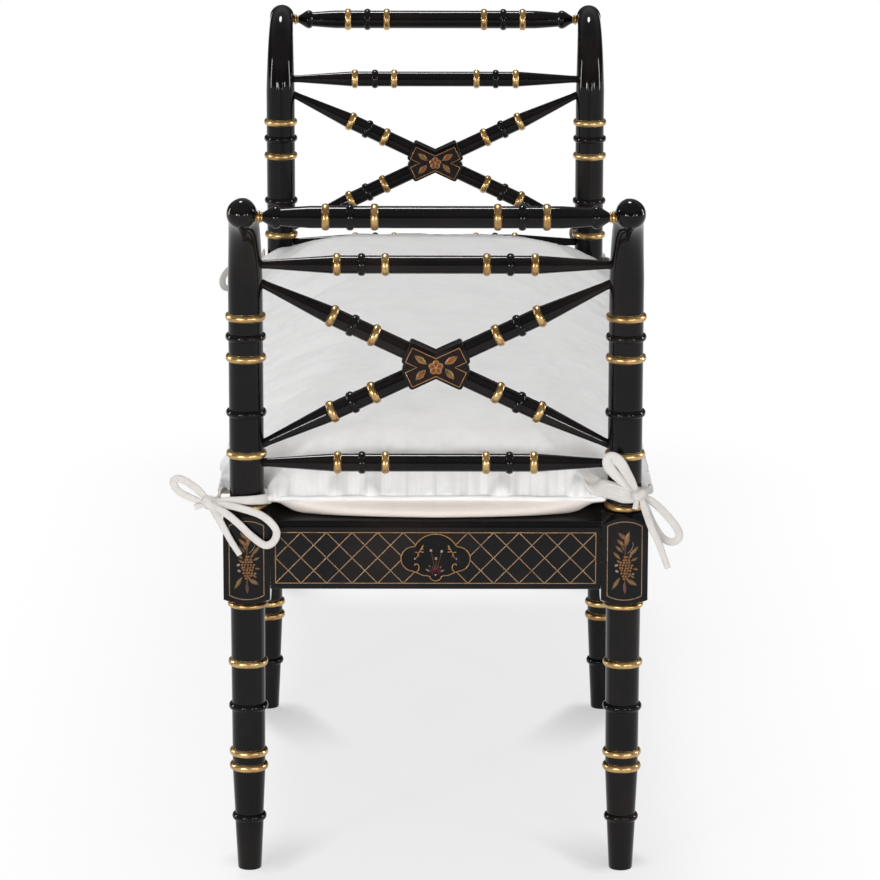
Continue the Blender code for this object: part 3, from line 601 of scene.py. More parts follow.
# %% The knot: a soft lump with a band of tape round its waist
def make_knot(name, centre, tilt):
    clear_selection()
    bpy.ops.mesh.primitive_uv_sphere_add(segments=32, ring_count=20, radius=0.0085, scale=(0.92, 1.10, 0.95))
    core = bpy.context.object
    clear_selection()
    bpy.ops.mesh.primitive_torus_add(major_radius=0.0068, minor_radius=0.0034, major_segments=40, minor_segments=14)
    band = bpy.context.object
    bpy.ops.object.mode_set(mode="EDIT")
    bpy.ops.mesh.select_all(action="SELECT")
    bpy.ops.transform.resize(value=(1.0, 1.0, 1.55), center_override=(0, 0, 0))
    bpy.ops.object.mode_set(mode="OBJECT")
    put(band, Matrix.Rotation(tilt, 4, "X"))
    pick(core, band)
    bpy.ops.object.join()
    core.name = core.data.name = name
    core.data.remesh_voxel_size = 0.0008
    bpy.ops.object.voxel_remesh()
    softener = core.modifiers.new("soften", "SMOOTH")
    softener.factor = 0.5
    softener.iterations = 6
    bpy.ops.object.modifier_apply(modifier=softener.name)
    for point, out in zip(core.data.vertices, [point.normal.copy() for point in core.data.vertices]):
        fold = noise.noise(Vector((point.co.x * 90, point.co.y * 260, point.co.z * 260)) + centre * 50)
        point.co += out * 0.0007 * fold
    put(core, Matrix.Translation(centre))
    core.data.uv_layers.new(name="UVMap")
    pick(core)
    bpy.ops.object.shade_smooth()
    return core


# %% Tie all four corners
for side, y_sign in SIDES.items():
    knot_offset, tapes = (FRONT_KNOT, FRONT_TAPES) if side == "front" else (BACK_KNOT, BACK_TAPES)
    for end, x_sign in ENDS.items():
        def corner_point(offset):
            out, across, rise = offset
            return Vector((x_sign * (POST_X + out), y_sign * (POST_Y + across), SEAT_TOP + rise))

        node = f"tie_{side}_{end}"
        knot = make_knot(f"{node}_knot", corner_point(knot_offset), y_sign * 0.5)
        hang(knot, tie_cotton_painted_darker, "off_white_cloth")
        post_axis = Vector((x_sign * POST_X, y_sign * POST_Y, 0))
        routes = dict(tapes, high=DROOPING_TAPE) if node == "tie_front_left" else tapes
        for tape_name, route in routes.items():
            line = smooth_line([corner_point(offset) for offset in route], TAPE_STEP)
            ways = flat_ways(line, post_axis, Vector((x_sign, 0.15 * y_sign, 0.1)))
            width_at = loop_width if (side, tape_name) == ("back", "high") else tape_width
            tape = make_tape(f"{node}_{tape_name}_tape", line, ways, corner_point(knot_offset), width_at)
            hang(tape, tie_cotton_painted_darker, "off_white_cloth", *([node] if tape_name == "low" else []))
            held = [knot] if tape_name == "low" else []
            if tape_name == "low" and side == "back":
                fold = smooth_line([corner_point(offset) for offset in GATHERED_END], TAPE_STEP)
                fold_ways = flat_ways(fold, post_axis, Vector((0.6 * x_sign, 0.25 * y_sign, 0.75)))
                gathered = make_tape(
                    f"{node}_gathered_end", fold, fold_ways, corner_point(knot_offset), gathered_width, 0.0042
                )
                hang(gathered, tie_cotton_painted_darker, "off_white_cloth")
                held.append(gathered)
            line_length(line)
            print(tape.name, "length", round(line_length(line), 4), "m")

# %% [markdown]
# ## Turning
# Legs, posts, rails and spindles come off a lathe. In Blender that is an outline spun round an axis: one
# point is extruded from place to place along the profile, and Spin carries it round. Every ring is a bead
# of half-round section. The outline has a point a hair's breadth outside each bead, so that the gilding
# mark stops sharply at the foot of the ring.

# %% A lathe
RING = (0.0084, 0.0034)
STICK_RING = (0.0082, 0.0026)
NECK_RING = (0.0064, 0.0032)
LEAF_EDGE = 0.00025


def bead(height, radius, size, bends=10):
    """Outline points of one ring, from below it to above it. Size is its width and how far it stands proud."""
    width, proud = size
    points = [(radius, height - width / 2 - LEAF_EDGE)]
    for bend in range(bends + 1):
        angle = pi * bend / bends
        points.append((radius + proud * sin(angle), height - width / 2 * cos(angle)))
    points.append((radius, height + width / 2 + LEAF_EDGE))
    return points


def turn_on_lathe(name, outline, steps=48):
    clear_selection()
    bpy.ops.mesh.primitive_plane_add(size=0.001)
    piece = bpy.context.object
    piece.name = piece.data.name = name
    bpy.ops.object.mode_set(mode="EDIT")
    bpy.ops.mesh.select_mode(type="VERT")
    bpy.ops.mesh.select_all(action="SELECT")
    bpy.ops.mesh.merge(type="CENTER")
    here = Vector((outline[0][0], 0, outline[0][1]))
    bpy.ops.transform.translate(value=here)
    for radius, height in outline[1:]:
        there = Vector((radius, 0, height))
        bpy.ops.mesh.extrude_region_move(TRANSFORM_OT_translate={"value": there - here})
        here = there
    bpy.ops.mesh.select_all(action="SELECT")
    bpy.ops.mesh.spin(steps=steps, angle=tau, center=(0, 0, 0), axis=(0, 0, 1))
    bpy.ops.object.mode_set(mode="OBJECT")
    close_up(piece)
    return piece


def gild(piece, bands):
    """Marks the stretches of a turned piece that carry leaf."""
    leaf = piece.data.attributes.new("gilding", "FLOAT", "POINT")
    for point, mark in zip(piece.data.vertices, leaf.data):
        covered = any(low - LEAF_EDGE / 2 < point.co.z < high + LEAF_EDGE / 2 for low, high in bands)
        mark.value = 1.0 if covered else 0.0


def ring_band(height, size):
    return height - size[0] / 2, height + size[0] / 2


print("ring of", RING, "m, stick ring of", STICK_RING, "m")

# %% [markdown]
# ## Legs
# A leg is one stick of wood. The stock stays square where the seat rails are tenoned in and is turned
# below that, with a cone-shaped shoulder where square meets round. Turning a blank wider than the stock
# and cutting it with a square bar gives that shoulder its arched edge by itself, as on the real lathe.

# %% Leg outline
BLOCK_BOTTOM = 0.314
BLOCK_CORNER = BLOCK_SIDE / sqrt(2) + 0.0006
LEG_RADIUS, LEG_WAIST, FOOT_RADIUS, FOOT_EASE = 0.0192, 0.0184, 0.0134, 0.002
LEG_TAPER = 0.366
LEG_RINGS = ((0.197, False), (0.387, True), (0.440, True), (0.611, False), (0.775, True))
UPPER_SHOULDER, LOWER_SHOULDER = 0.013, 0.008


def leg_radius(share):
    if share > LEG_TAPER:
        return LEG_WAIST + (LEG_RADIUS - LEG_WAIST) * (share - LEG_TAPER) / (1 - LEG_TAPER)
    return FOOT_RADIUS + (LEG_WAIST - FOOT_RADIUS) * share / LEG_TAPER


def leg_outline(top):
    points = [(0, 0), (FOOT_RADIUS - FOOT_EASE, 0), (FOOT_RADIUS - FOOT_EASE * 0.3, FOOT_EASE * 0.3)]
    points.append((FOOT_RADIUS, FOOT_EASE))
    for share, _ in LEG_RINGS:
        points += bead(BLOCK_BOTTOM * share, leg_radius(share), RING)
    points += bead(BLOCK_BOTTOM - NECK_RING[0] / 2, LEG_RADIUS, NECK_RING)[:-1]
    points.append((LEG_RADIUS + RING[1], BLOCK_BOTTOM + LEAF_EDGE))
    points.append((BLOCK_CORNER, BLOCK_BOTTOM + LOWER_SHOULDER))
    return points + top


# %% Turn a leg, square its block and set six of them
def square_bar(height):
    clear_selection()
    bpy.ops.mesh.primitive_cube_add(size=1, location=(0, 0, height / 2), scale=(BLOCK_SIDE, BLOCK_SIDE, height + 0.02))
    bar = bpy.context.object
    bpy.ops.object.transform_apply(location=True, rotation=True, scale=True)
    bpy.ops.object.mode_set(mode="EDIT")
    bpy.ops.mesh.select_mode(type="EDGE")
    bpy.ops.mesh.select_all(action="DESELECT")
    form = bmesh.from_edit_mesh(bar.data)
    for edge in form.edges:
        first, second = edge.verts
        edge.select_set(abs(first.co.z - second.co.z) > height / 2)
    bmesh.update_edit_mesh(bar.data)
    bpy.ops.mesh.bevel(offset=0.0011, segments=4, affect="EDGES")
    bpy.ops.object.mode_set(mode="OBJECT")
    return bar


leg_bands = [ring_band(BLOCK_BOTTOM * share, RING) for share, gold in LEG_RINGS if gold]
leg_bands.append(ring_band(BLOCK_BOTTOM - NECK_RING[0] / 2, NECK_RING))
corner_top = [(BLOCK_CORNER, BLOCK_TOP - UPPER_SHOULDER), (LEG_RADIUS + RING[1], BLOCK_TOP), (0, BLOCK_TOP)]
middle_top = [(BLOCK_CORNER, SEAT_TOP), (0, SEAT_TOP)]
for top, places in ((corner_top, ENDS), (middle_top, {"middle": 0})):
    blank = turn_on_lathe("turned_leg", leg_outline(top), 64)
    combine(blank, square_bar(BLOCK_TOP), "INTERSECT")
    close_up(blank)
    gild(blank, leg_bands)
    smooth(blank, 28)
    for side, y_sign in SIDES.items():
        for place, x_sign in places.items():
            leg = copy_of(blank, f"finished_leg_{side}_{place}")
            put(leg, Matrix.Translation((x_sign * POST_X, y_sign * POST_Y, 0)))
            hang(leg, gilt_lacquer, "black_lacquer", f"leg_{side}_{place}")
    print("leg with", len(blank.data.polygons), "faces")
    discard(blank)

# %% [markdown]
# ## Arm posts
# An arm post stands on the block of its leg. It rises straight through five rings and then sweeps outwards
# in a quarter circle to a ball. The straight part is turned. Spinning its open top edge round a point
# beside it draws the sweep, and each ring of points is then drawn in a little so that the sweep tapers.

# %% Turn a post, sweep its top and set four of them
POST_RADIUS, SWEEP_END, BALL_RADIUS, BALL_RISE = 0.0192, 0.0150, 0.0166, 0.0033
SWEEP_START, SWEEP_RADIUS, SWEEP_STEPS = 0.6826, 0.0834, 18
POST_RINGS = ((0.4832, True), (0.5303, False), (0.5926, True), (0.6160, False), (0.6387, True))
post_foot = BLOCK_TOP + FIT

outline = [(0, post_foot)] + bead(post_foot + RING[0] / 2, POST_RADIUS, RING)[1:]
for height, _ in POST_RINGS:
    outline += bead(height, POST_RADIUS, RING)
outline.append((POST_RADIUS, SWEEP_START))
post_blank = turn_on_lathe("turned_post", outline)
pick(post_blank)
bpy.ops.object.mode_set(mode="EDIT")
form = bmesh.from_edit_mesh(post_blank.data)
for point in form.verts:
    point.select_set(point.co.z > SWEEP_START - 0.0001)
form.select_flush(True)
bmesh.update_edit_mesh(post_blank.data)
sweep_centre = Vector((SWEEP_RADIUS, 0, SWEEP_START))
bpy.ops.mesh.spin(steps=SWEEP_STEPS, angle=pi / 2, center=sweep_centre, axis=(0, -1, 0))
bpy.ops.mesh.edge_face_add()
bpy.ops.object.mode_set(mode="OBJECT")
for point in post_blank.data.vertices:
    if point.co.z > SWEEP_START + 0.0001:
        angle = atan2(point.co.z - SWEEP_START, SWEEP_RADIUS - point.co.x)
        middle = sweep_centre + SWEEP_RADIUS * Vector((-cos(angle), 0, sin(angle)))
        point.co = middle.lerp(point.co, 1 + (SWEEP_END / POST_RADIUS - 1) * angle / (pi / 2))
        point.co.z += BALL_RISE * (point.co.z - SWEEP_START) / SWEEP_RADIUS
close_up(post_blank)
clear_selection()
bpy.ops.mesh.primitive_uv_sphere_add(segments=48, ring_count=32, radius=BALL_RADIUS)
ball = bpy.context.object
put(ball, Matrix.Translation(sweep_centre + UP * (SWEEP_RADIUS + BALL_RISE)) @ Matrix.Rotation(pi / 2, 4, "Y"))
combine(post_blank, ball, "UNION")
close_up(post_blank)
post_bands = [ring_band(height, RING) for height, gold in POST_RINGS if gold]
gild(post_blank, post_bands + [ring_band(post_foot + RING[0] / 2, RING)])
smooth(post_blank)
for side, y_sign in SIDES.items():
    for end, x_sign in ENDS.items():
        post = copy_of(post_blank, f"finished_arm_post_{side}_{end}")
        turn = Matrix.Rotation(0 if x_sign > 0 else pi, 4, "Z")
        put(post, Matrix.Translation((x_sign * POST_X, y_sign * POST_Y, 0)) @ turn)
        hang(post, gilt_lacquer, "black_lacquer", f"arm_post_{side}_{end}")
print("post with", len(post_blank.data.polygons), "faces, top", round(max(p.co.z for p in post_blank.data.vertices), 4))
discard(post_blank)

# %% [markdown]
# ## Rails of the arms
# Each arm has a straight rail above the cushion, another below the sweep, and a thicker roll between the
# balls. All three are turned sticks with three rings on either side of the middle, gilt, black and gilt.
# The two straight rails taper to slim tips that sit in the posts. The roll ends in a collar, a cone and a
# small gilt neck against the ball. Half an outline is written, from the middle outwards, and mirrored.

# %% Outlines of the sticks
POST_FACE = POST_Y - POST_RADIUS
TIP_RADIUS, TIP_DEPTH, TIP_RUN = 0.0049, 0.011, 0.006
RAIL_RADIUS, ROLL_RADIUS = 0.0101, 0.0121
RAIL_RINGS = ((0.266, True), (0.390, False), (0.519, True))
ROLL_RINGS = ((0.317, True), (0.443, False), (0.569, True))


def both_halves(half):
    return [(radius, -height) for radius, height in reversed(half)] + half


def both_bands(bands):
    return bands + [(-high, -low) for low, high in bands]


def slim_tip(outline, face):
    radius, start = outline[-1]
    end = face - TIP_RUN
    taper = []
    for share in (0.06, 0.94, 1):
        taper.append((radius + (TIP_RADIUS - radius) * share, start + (end - start) * share))
    return taper + [(TIP_RADIUS, face + TIP_DEPTH), (0, face + TIP_DEPTH)]


rail_half = []
for share, _ in RAIL_RINGS:
    rail_half += bead(POST_Y * share, RAIL_RADIUS, STICK_RING)
rail_half += slim_tip(rail_half, POST_FACE)
rail_bands = both_bands([ring_band(POST_Y * share, STICK_RING) for share, gold in RAIL_RINGS if gold])

roll_half = []
for share, _ in ROLL_RINGS:
    roll_half += bead(POST_Y * share, ROLL_RADIUS, STICK_RING)
for share, radius in (
    (0.648, 0.0121), (0.700, 0.0114), (0.760, 0.0104), (0.792, 0.0098), (0.800, 0.0097), (0.804, 0.0104),
    (0.809, 0.0115), (0.816, 0.0122), (0.824, 0.0125), (0.833, 0.0122), (0.841, 0.0115), (0.850, 0.0104),
    (0.868, 0.0079), (0.884, 0.0058), (0.890, 0.0051),
):
    roll_half.append((radius, POST_Y * share))
neck = POST_Y * 0.8915
roll_half += bead(neck + 0.0013, TIP_RADIUS, (0.0022, 0.0010), 6) + bead(neck + 0.0045, TIP_RADIUS, (0.0038, 0.0022), 8)
roll_tip = POST_Y - BALL_RADIUS + TIP_DEPTH
roll_half += [(TIP_RADIUS, roll_tip), (0, roll_tip)]
roll_bands = [ring_band(POST_Y * share, STICK_RING) for share, gold in ROLL_RINGS if gold]
roll_bands = both_bands(roll_bands + [(neck + 0.0001, roll_tip)])
print("rail outline", 2 * len(rail_half), "points, roll outline", 2 * len(roll_half), "points")

# %% Turn the rails and set them
for kind, half, bands in (
    ("roll_rail", roll_half, roll_bands), ("upper_rail", rail_half, rail_bands), ("lower_rail", rail_half, rail_bands),
):
    blank = turn_on_lathe("turned_" + kind, both_halves(half), 40)
    gild(blank, bands)
    smooth(blank)
    for end in ENDS:
        node = f"{kind}_{end}"
        low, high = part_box(node)
        rail = copy_of(blank, "finished_" + node)
        put(rail, Matrix.Translation((low + high) / 2) @ Matrix.Rotation(pi / 2, 4, "X"))
        hang(rail, gilt_lacquer, "black_lacquer", node)
    print(kind, len(blank.data.polygons), "faces")
    discard(blank)

# %% [markdown]
# ## Crossed spindles and their block
# Four spindles run from the posts to an X-shaped block in the middle of each arm. They are turned like the
# rails, with slim tips at the posts and full ends at the block. The block is two flat bars halved into
# each other, with eased edges, and its painted face comes later.

# %% Spindles
low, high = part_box("lower_rail_right")
LOWER_RAIL = (low.z + high.z) / 2
low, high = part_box("upper_rail_right")
UPPER_RAIL = (low.z + high.z) / 2
CROSS_HEIGHT = (LOWER_RAIL + UPPER_RAIL) / 2
CROSS_REACH, CROSS_WIDTH, CROSS_THICKNESS = 0.037, 0.026, 0.025
SPINDLE_RADIUS = 0.0102
SPINDLE_RINGS = ((0.223, True), (0.372, False), (0.515, True))
spindle_rise = (UPPER_RAIL - LOWER_RAIL) / 2 - 0.022
SPINDLE_ANGLE = atan2(spindle_rise, POST_FACE)
SPINDLE_REACH = hypot(spindle_rise, POST_FACE)

run = SPINDLE_REACH - CROSS_REACH
outline = [(0, CROSS_REACH + FIT), (SPINDLE_RADIUS, CROSS_REACH + FIT)]
for share, _ in SPINDLE_RINGS:
    outline += bead(CROSS_REACH + run * share, SPINDLE_RADIUS, STICK_RING)
outline += slim_tip(outline, SPINDLE_REACH)
blank = turn_on_lathe("turned_spindle", outline, 40)
gild(blank, [ring_band(CROSS_REACH + run * share, STICK_RING) for share, gold in SPINDLE_RINGS if gold])
smooth(blank)
for end, x_sign in ENDS.items():
    for level, z_sign in (("lower", -1), ("upper", 1)):
        for side, y_sign in SIDES.items():
            node = f"spindle_{level}_{side}_{end}"
            way = Vector((0, y_sign * cos(SPINDLE_ANGLE), z_sign * sin(SPINDLE_ANGLE)))
            spindle = copy_of(blank, "finished_" + node)
            place = Matrix.Translation((x_sign * POST_X, 0, CROSS_HEIGHT))
            put(spindle, place @ way.to_track_quat("Z", "X").to_matrix().to_4x4())
            hang(spindle, gilt_lacquer, "black_lacquer", node)
discard(blank)
print("spindle angle", round(SPINDLE_ANGLE * 180 / pi, 2), "reach", round(SPINDLE_REACH, 4))


# %% X-shaped blocks
def rounded_bar(thickness, corner):
    """A flat bar along Y, its four corners rounded in the face's plane."""
    clear_selection()
    bpy.ops.mesh.primitive_cube_add(size=1, scale=(thickness, 2 * CROSS_REACH, CROSS_WIDTH))
    bar = bpy.context.object
    bpy.ops.object.transform_apply(location=True, rotation=True, scale=True)
    bpy.ops.object.mode_set(mode="EDIT")
    bpy.ops.mesh.select_mode(type="EDGE")
    form = bmesh.from_edit_mesh(bar.data)
    for edge in form.edges:
        first, second = edge.verts
        edge.select_set(abs(first.co.x - second.co.x) > thickness / 2)
    bmesh.update_edit_mesh(bar.data)
    bpy.ops.mesh.bevel(offset=corner, segments=6, affect="EDGES")
    bpy.ops.object.mode_set(mode="OBJECT")
    return bar


cross_blank = put(rounded_bar(CROSS_THICKNESS, 0.0038), Matrix.Rotation(SPINDLE_ANGLE, 4, "X"))
combine(cross_blank, put(rounded_bar(CROSS_THICKNESS - 0.00004, 0.0038), Matrix.Rotation(-SPINDLE_ANGLE, 4, "X")), "UNION")
close_up(cross_blank)
easing = cross_blank.modifiers.new("easing", "BEVEL")
easing.width = 0.0010
easing.segments = 3
easing.angle_limit = radians(50)
pick(cross_blank)
bpy.ops.object.modifier_apply(modifier=easing.name)
smooth(cross_blank)
for end, x_sign in ENDS.items():
    cross = copy_of(cross_blank, f"finished_cross_block_{end}")
    put(cross, Matrix.Translation((x_sign * POST_X, 0, CROSS_HEIGHT)))
    hang(cross, lacquer, "black_lacquer", f"cross_block_{end}")
discard(cross_blank)
print("X blocks at height", round(CROSS_HEIGHT, 4))

# %% [markdown]
# ## Seat rails
# The seat rails are flat boards between the blocks, lacquered like the rest. Their upper outer edge is
# well rounded under the cushion and the lower one only eased. A box with two different bevels does it.

# %% Seat rails
EDGE_RADIUS = 0.008


def make_seat_rail(name, length):
    """A rail along Y with its face towards +X, its middle on the line between the legs."""
    clear_selection()
    middle = (END_FACE - POST_X - RAIL_THICKNESS / 2, 0, (SEAT_TOP + RAIL_BOTTOM) / 2)
    size = (RAIL_THICKNESS, length, SEAT_TOP - RAIL_BOTTOM)
    bpy.ops.mesh.primitive_cube_add(size=1, location=middle, scale=size)
    rail = bpy.context.object
    rail.name = rail.data.name = name
    bpy.ops.object.transform_apply(location=True, rotation=True, scale=True)
    face = END_FACE - POST_X
    for height, offset, segments in ((SEAT_TOP, EDGE_RADIUS, 10), (RAIL_BOTTOM, 0.0014, 4)):
        bpy.ops.object.mode_set(mode="EDIT")
        bpy.ops.mesh.select_mode(type="EDGE")
        bpy.ops.mesh.select_all(action="DESELECT")
        form = bmesh.from_edit_mesh(rail.data)
        for edge in form.edges:
            edge.select_set(all(abs(p.co.x - face) < 1e-5 and abs(p.co.z - height) < 1e-5 for p in edge.verts))
        bmesh.update_edit_mesh(rail.data)
        bpy.ops.mesh.bevel(offset=offset, segments=segments, affect="EDGES")
        bpy.ops.object.mode_set(mode="OBJECT")
    smooth(rail)
    return rail


END_SPAN = 2 * POST_Y - BLOCK_SIDE
SIDE_SPAN = POST_X - BLOCK_SIDE
rail_places = {}
for end, x_sign in ENDS.items():
    turn = Matrix.Rotation(0 if x_sign > 0 else pi, 4, "Z")
    rail_places[f"end_seat_rail_{end}"] = (END_SPAN, Matrix.Translation((x_sign * POST_X, 0, 0)) @ turn)
    for side, y_sign in SIDES.items():
        turn = Matrix.Rotation(y_sign * pi / 2, 4, "Z")
        middle = Matrix.Translation((x_sign * POST_X / 2, y_sign * POST_Y, 0))
        rail_places[f"side_seat_rail_{side}_{end}"] = (SIDE_SPAN, middle @ turn)
for node, (span, place) in rail_places.items():
    rail = put(make_seat_rail("finished_" + node, span - 2 * FIT), place)
    hang(rail, lacquer, "black_lacquer", node)
print("seat rails:", len(rail_places))

# %% [markdown]
# ## Painted ornament
# A painter works flat, stroke by stroke, and so does this part: every ornament is drawn in a plane, across
# and up, and then set on the face it belongs to. A line is a curve with a thin bevel, made a mesh and
# pressed flat. Leaves and petals are one small pointed disc, copied, turned and sized. The ornament is
# the usual one for such pieces, a lattice, a lobed frame and sprays of flowers, in a plain design.

# %% Strokes and leaves
PROUD = 0.0003
GOLD = (0.430, 0.235, 0.095, 1)
LINE_GOLD = (0.325, 0.205, 0.118, 1)
BROWN_GOLD = (0.265, 0.152, 0.076, 1)
OLIVE = (0.205, 0.148, 0.066, 1)
DARK_LEAF = (0.170, 0.086, 0.036, 1)
BUNCH_BROWN = (0.290, 0.135, 0.052, 1)
ORANGE = (0.300, 0.088, 0.024, 1)
OCHRE = (0.250, 0.130, 0.036, 1)
PALE = (0.290, 0.235, 0.185, 1)
OLD_GOLD = (0.240, 0.160, 0.075, 1)
DULL_ROSE = (0.135, 0.058, 0.052, 1)
PALE_WHITE = (0.560, 0.530, 0.500, 1)
DARK_RED = (0.055, 0.009, 0.013, 1)
WINE = (0.115, 0.028, 0.032, 1)
MAROON = (0.0150, 0.0058, 0.0052, 1)
BLACK = (0.0060, 0.0050, 0.0055, 1)


def tint(piece, colour):
    mark = piece.data.attributes.new("tint", "FLOAT_COLOR", "POINT")
    for item in mark.data:
        item.color = colour
    return piece


def paint_lines(strokes, width, colour, lift=0.0):
    """Each stroke is a list of points, across and up, and says whether it closes."""
    curve = bpy.data.curves.new("stroke", "CURVE")
    curve.dimensions = "3D"
    curve.bevel_depth = width / 2
    curve.bevel_resolution = 1
    curve.use_fill_caps = True
    for points, closed in strokes:
        spline = curve.splines.new("POLY")
        spline.points.add(len(points) - 1)
        for knot, (across, up) in zip(spline.points, points):
            knot.co = (across, up, 0, 1)
        spline.use_cyclic_u = closed
    drawn = bpy.data.objects.new("stroke", curve)
    bpy.context.collection.objects.link(drawn)
    pick(drawn)
    bpy.ops.object.convert(target="MESH")
    drawn = bpy.context.object
    put(drawn, Matrix.Translation((0, 0, lift)) @ Matrix.Diagonal((1, 1, 2 * PROUD / width, 1)))
    return tint(drawn, colour)


def disc(sides, pointed):
    """A flat disc one across and one high, its edge eased. A pointed one is a leaf along X."""
    clear_selection()
    bpy.ops.mesh.primitive_circle_add(vertices=sides, radius=0.5, fill_type="NGON")
    piece = bpy.context.object
    bpy.ops.object.mode_set(mode="EDIT")
    bpy.ops.mesh.select_all(action="SELECT")
    bpy.ops.mesh.extrude_region_move(TRANSFORM_OT_translate={"value": (0, 0, 1)})
    bpy.ops.transform.resize(value=(0.70, 0.70, 1), center_override=(0, 0, 1))
    bpy.ops.object.mode_set(mode="OBJECT")
    if pointed:
        for point in piece.data.vertices:
            out = min(abs(2 * point.co.x), 0.999)
            point.co.y *= (1 - out ** 1.7) / sqrt(1 - out ** 2)
    close_up(piece)
    return piece


leaf_blank = disc(12, True)
dot_blank = disc(10, False)


def stamp(blank, places, colour, lift=0.0):
    """Copies a disc to each place: across, up, turn in degrees, length and width."""
    copies = []
    for across, up, degrees, length, width in places:
        size = Matrix.Diagonal((length, width, PROUD, 1))
        place = Matrix.Translation((across, up, lift)) @ Matrix.Rotation(radians(degrees), 4, "Z") @ size
        copies.append(put(copy_of(blank, "stamp"), place))
    return tint(join(copies), colour)


def join(pieces):
    pick(*pieces)
    bpy.ops.object.join()
    return pieces[0]


def plate(points, thickness, colour):
    """A thin flat plate with a given outline."""
    clear_selection()
    bpy.ops.mesh.primitive_circle_add(vertices=len(points), radius=0.01, fill_type="NGON")
    piece = bpy.context.object
    for corner, (across, up) in zip(piece.data.vertices, points):
        corner.co = (across, up, 0)
    bpy.ops.object.mode_set(mode="EDIT")
    bpy.ops.mesh.select_all(action="SELECT")
    bpy.ops.mesh.extrude_region_move(TRANSFORM_OT_translate={"value": (0, 0, thickness)})
    bpy.ops.object.mode_set(mode="OBJECT")
    close_up(piece)
    return tint(piece, colour)


def face_place(middle, outward):
    """Where a drawing goes: its middle on a face, its front outwards and its top up."""
    across = UP.cross(outward)
    turn = Matrix((across, UP, outward)).transposed().to_4x4()
    return Matrix.Translation(middle) @ turn


def arc(centre, radius, start, end, steps):
    """Points along part of a circle, from one angle to another in degrees."""
    points = []
    for step in range(steps + 1):
        angle = radians(start + (end - start) * step / steps)
        points.append((centre[0] + radius * cos(angle), centre[1] + radius * sin(angle)))
    return points


def mirrored(places):
    return places + [(-across, up, 180 - degrees, length, width) for across, up, degrees, length, width in places]


print("leaf with", len(leaf_blank.data.polygons), "faces")

# %% [markdown]
# ## The lobed frame
# In the middle of each seat rail the lattice stops at a black frame with an arched top, a round lobe at
# each side and a small drop below. Inside are a sprig at each shoulder, three white dots and an open
# flower. Its plate is a little thicker than the lines, so the lattice runs in under it.

# %% Lobed frame
FRAME_PLATE = 0.00042


def lobed_outline():
    right = arc((0, 0.0014), 0.0261, 90, 27.4, 12)
    right += arc((0.0245, -0.0010), 0.0140, 85, -85, 16)
    right += [(0.0190, -0.0176), (0.0140, -0.0199), (0.0090, -0.0203)]
    right += arc((0, -0.0195), 0.0068, -12, -90, 6)
    left = [(-across, up) for across, up in reversed(right[1:-1])]
    return right + left


def both_sides(points):
    """A stroke on the right and the same on the left."""
    return [(points, False), ([(-across, up) for across, up in points], False)]


def rounded(points):
    return [(point.x, point.y) for point in smooth_line([(*point, 0) for point in points], 0.0008)]


def draw_lobed_frame():
    outline = lobed_outline()
    top = FRAME_PLATE
    hook = [
        (0.0212, -0.0157), (0.0192, -0.0140), (0.0184, -0.0108), (0.0193, -0.0078), (0.0212, -0.0068),
        (0.0231, -0.0076), (0.0234, -0.0092),
    ]
    stalk = [(0.0232, -0.0006), (0.0205, 0.0012), (0.0186, 0.0060), (0.0166, 0.0098), (0.0140, 0.0142)]
    sprig = mirrored([
        (0.0149, 0.0126, 118, 0.0062, 0.0017), (0.0150, 0.0102, 165, 0.0040, 0.0014),
        (0.0152, 0.0071, 8, 0.0054, 0.0014), (0.0213, 0.0066, 8, 0.0050, 0.0013),
        (0.0192, 0.0030, 55, 0.0038, 0.0013),
    ])
    stems = [
        rounded([(-0.0008, -0.0140), (-0.0026, -0.0040), (-0.0050, 0.0078)]),
        rounded([(0.0008, -0.0140), (0.0036, -0.0050), (0.0066, 0.0068)]),
        rounded([(0.0000, -0.0140), (0.0006, -0.0100), (0.0005, -0.0014)]),
    ]
    fan = [(degrees, 0.0138 - 0.00005 * abs(degrees - 90)) for degrees in (56, 73, 90, 107, 124)]

    def petal_row(reach, length, width):
        places = []
        for degrees, full in fan:
            angle = radians(degrees)
            places.append((reach * cos(angle), -0.0215 + reach * sin(angle), degrees, full * length, width))
        return places

    side_leaves = [
        (-0.0088, -0.0140, 148, 0.0060, 0.0018), (0.0076, -0.0147, 28, 0.0052, 0.0018),
        (-0.0066, -0.0092, 110, 0.0028, 0.0014), (0.0056, -0.0104, 70, 0.0026, 0.0014),
    ]
    buds = [(0, -0.0192, 0, 0.0019, 0.0019)]
    for across, up in ((-0.0052, 0.0087), (0.0067, 0.0078), (0.0005, -0.0004)):
        buds.append((across, up, 0, 0.0016, 0.0016))
        for degrees in (45, 135, 225, 315):
            lean = radians(degrees)
            buds.append((across + 0.0012 * cos(lean), up + 0.0012 * sin(lean), degrees, 0.0013, 0.0009))
    tips = mirrored([(0.0232, -0.0008, 60, 0.0022, 0.0014)])
    return [
        plate(outline, FRAME_PLATE, BLACK),
        paint_lines([(outline, True)] + both_sides(rounded(hook)), 0.0011, GOLD, top),
        paint_lines(both_sides(rounded(stalk)), 0.0009, GOLD, top),
        paint_lines([(stem, False) for stem in stems], 0.0006, DARK_LEAF, top),
        stamp(leaf_blank, sprig, GOLD, top),
        stamp(leaf_blank, petal_row(0.0069, 1.0, 0.0042), DARK_RED, top),
        stamp(leaf_blank, petal_row(0.0072, 0.66, 0.0012), WINE, top + 0.0001),
        stamp(leaf_blank, side_leaves, PALE, top + 0.0001),
        stamp(dot_blank, buds + tips, PALE_WHITE, top + 0.0001),
    ]


